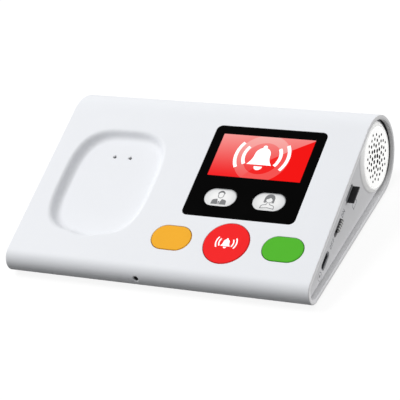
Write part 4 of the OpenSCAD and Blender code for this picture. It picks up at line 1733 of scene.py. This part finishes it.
@dataclass
class Studio:
    """The camera, the lamps, the floor and the world."""

    place: Triple = (0.39337, -0.61644, 0.47853)
    turn: Triple = (0.568157941, 0.567083427, -0.235597334)
    lens: float = 170.08
    sky: float = 0.48
    lamp: float = 0.66
    lamp_from: Triple = (-0.6, -0.06, 0.8)
    lamp_size: float = 1.9
    lamp_far: float = 3.2
    side_lamp: float = 0.42
    side_lamp_from: Triple = (0.88, 0.45, 0.08)
    side_lamp_size: float = 0.24
    side_lamp_far: float = 1.8
    floor_half: float = 3.0
    floor_low: float = -0.0001
    floor_glow: float = 0.88
    floor_shade: float = 0.17
    floor_bounce: float = 0.03
    seen_by: tuple[str, ...] = ("Is Camera Ray", "Is Glossy Ray", "Is Transmission Ray")

    def camera(self) -> None:
        """Place the camera as the photograph's was."""
        azimuth, elevation, roll = self.turn
        level = math.cos(elevation)
        back = Vector((math.sin(azimuth) * level, -math.cos(azimuth) * level, math.sin(elevation)))
        side = Vector((math.cos(azimuth), math.sin(azimuth), 0))
        up = back.cross(side)
        right = side * math.cos(roll) + up * math.sin(roll)
        top = up * math.cos(roll) - side * math.sin(roll)
        data = bpy.data.cameras.new("camera")
        data.lens = self.lens
        data.sensor_width = 36.0
        data.clip_start, data.clip_end = 0.01, 50.0
        obj = bpy.data.objects.new("camera", data)
        obj.matrix_world = Matrix.Translation(self.place) @ Matrix((right, top, back)).transposed().to_4x4()
        bpy.context.scene.collection.objects.link(obj)
        bpy.context.scene.camera = obj

    def hang(self, name: str, level: float, aim_from: Triple, size: float, far: float) -> None:
        """Hang one broad soft lamp that looks at the object.

        Args:
            name: the lamp's name.
            level: how brightly it lights a white surface that faces it, where 1 is white.
            aim_from: the direction that it shines from.
            size: its diameter, in metres.
            far: its distance, in metres.
        """
        data = bpy.data.lights.new(name, "AREA")
        data.shape = "DISK"
        data.size = size
        data.energy = level * math.pi * math.pi * far * far
        obj = bpy.data.objects.new(name, data)
        aim = Vector(aim_from).normalized()
        obj.location = aim * far
        obj.rotation_mode = "QUATERNION"
        obj.rotation_quaternion = aim.to_track_quat("Z", "Y")
        bpy.context.scene.collection.objects.link(obj)

    def light(self) -> None:
        """Hang the key lamp, up behind on the left, and a faint one low on the right."""
        self.hang("key_lamp", self.lamp, self.lamp_from, self.lamp_size, self.lamp_far)
        self.hang("side_lamp", self.side_lamp, self.side_lamp_from, self.side_lamp_size, self.side_lamp_far)

    def shown(self, g: Graph) -> Value:
        """Give 1 for the rays that show the background: the camera's, and those off mirrors and through glass."""
        camera, glossy, through = (g.node("ShaderNodeLightPath", out=kind) for kind in self.seen_by)
        return camera.top(glossy.top(through))

    def world(self) -> None:
        """Light everything evenly, and show plain white to the camera and in reflections."""
        world = bpy.data.worlds.new("studio")
        bpy.context.scene.world = world
        g = Graph(world, "Background")
        g.set(Color=WHITE, Strength=self.sky)
        sky = Value(g, g.surface.outputs[0])
        white = g.node("ShaderNodeBackground", inputs={"Color": WHITE, "Strength": 1.0})
        mixed = g.node("ShaderNodeMixShader", inputs={0: self.shown(g), 1: sky, 2: white})
        g.feed(g.tree.nodes["World Output"].inputs[0], mixed)

    def floor(self) -> None:
        """Lay a pale floor that shows white and keeps the object's shadow."""
        material = bpy.data.materials.new("floor_white")
        g = Graph(material)
        shown = self.shown(g)
        bounce, shade = ((level, level, level, 1.0) for level in (self.floor_bounce, self.floor_shade))
        g.set(Base_Color=g.mix(shown, bounce, shade), Roughness=1.0, Specular_IOR_Level=0.0)
        g.set(Emission_Color=g.mix(shown, BLACK, WHITE), Emission_Strength=self.floor_glow)
        mesh = bpy.data.meshes.new("floor")
        half = self.floor_half
        corners = [(-half, -half), (half, -half), (half, half), (-half, half)]
        mesh.from_pydata([(x, y, self.floor_low) for x, y in corners], [], [(0, 1, 2, 3)])
        mesh.materials.append(material)
        obj = bpy.data.objects.new("floor", mesh)
        bpy.context.scene.collection.objects.link(obj)

    def build(self) -> None:
        """Set the scene."""
        bpy.context.scene.view_settings.view_transform = "Standard"
        self.camera()
        self.light()
        self.world()
        self.floor()


# ---- The whole ----


KNOB_RIBS = (BODY.panel_x + 0.35, BODY.panel_x + 1.1, -10.35)


def dress_nodes(palette: Palette) -> None:
    """Give every CAD node the material of its slot.

    Args:
        palette: the finishes.
    """
    for row in frame["record"]["subparts"]:
        dress(row["node"], palette[row["material_slot"]])
    for node in ("charge_pin_left", "charge_pin_right", "charge_pin_barrels"):
        dress(node, palette["nickel"])
    dress("power_knob", Ribbed("knob_ribs", *KNOB_RIBS).make())


def main() -> None:
    """Build the looks in order and report each step."""
    logging.basicConfig(level=logging.INFO, format="%(name)s: %(message)s")
    palette = Palette()
    dress_nodes(palette)
    screen = Screen(palette)
    steps: list[tuple[str, Callable[[], None]]] = [
        ("studio", Studio().build),
        ("housing", Housing(palette, Cradle(), screen).build),
        ("screen", screen.build),
        ("keys", CallKeys(palette).build),
        ("right end", RightEnd(palette).build),
    ]
    for name, step in steps:
        step()
        log.info("built the %s", name)


if __name__ == "__main__":
    main()
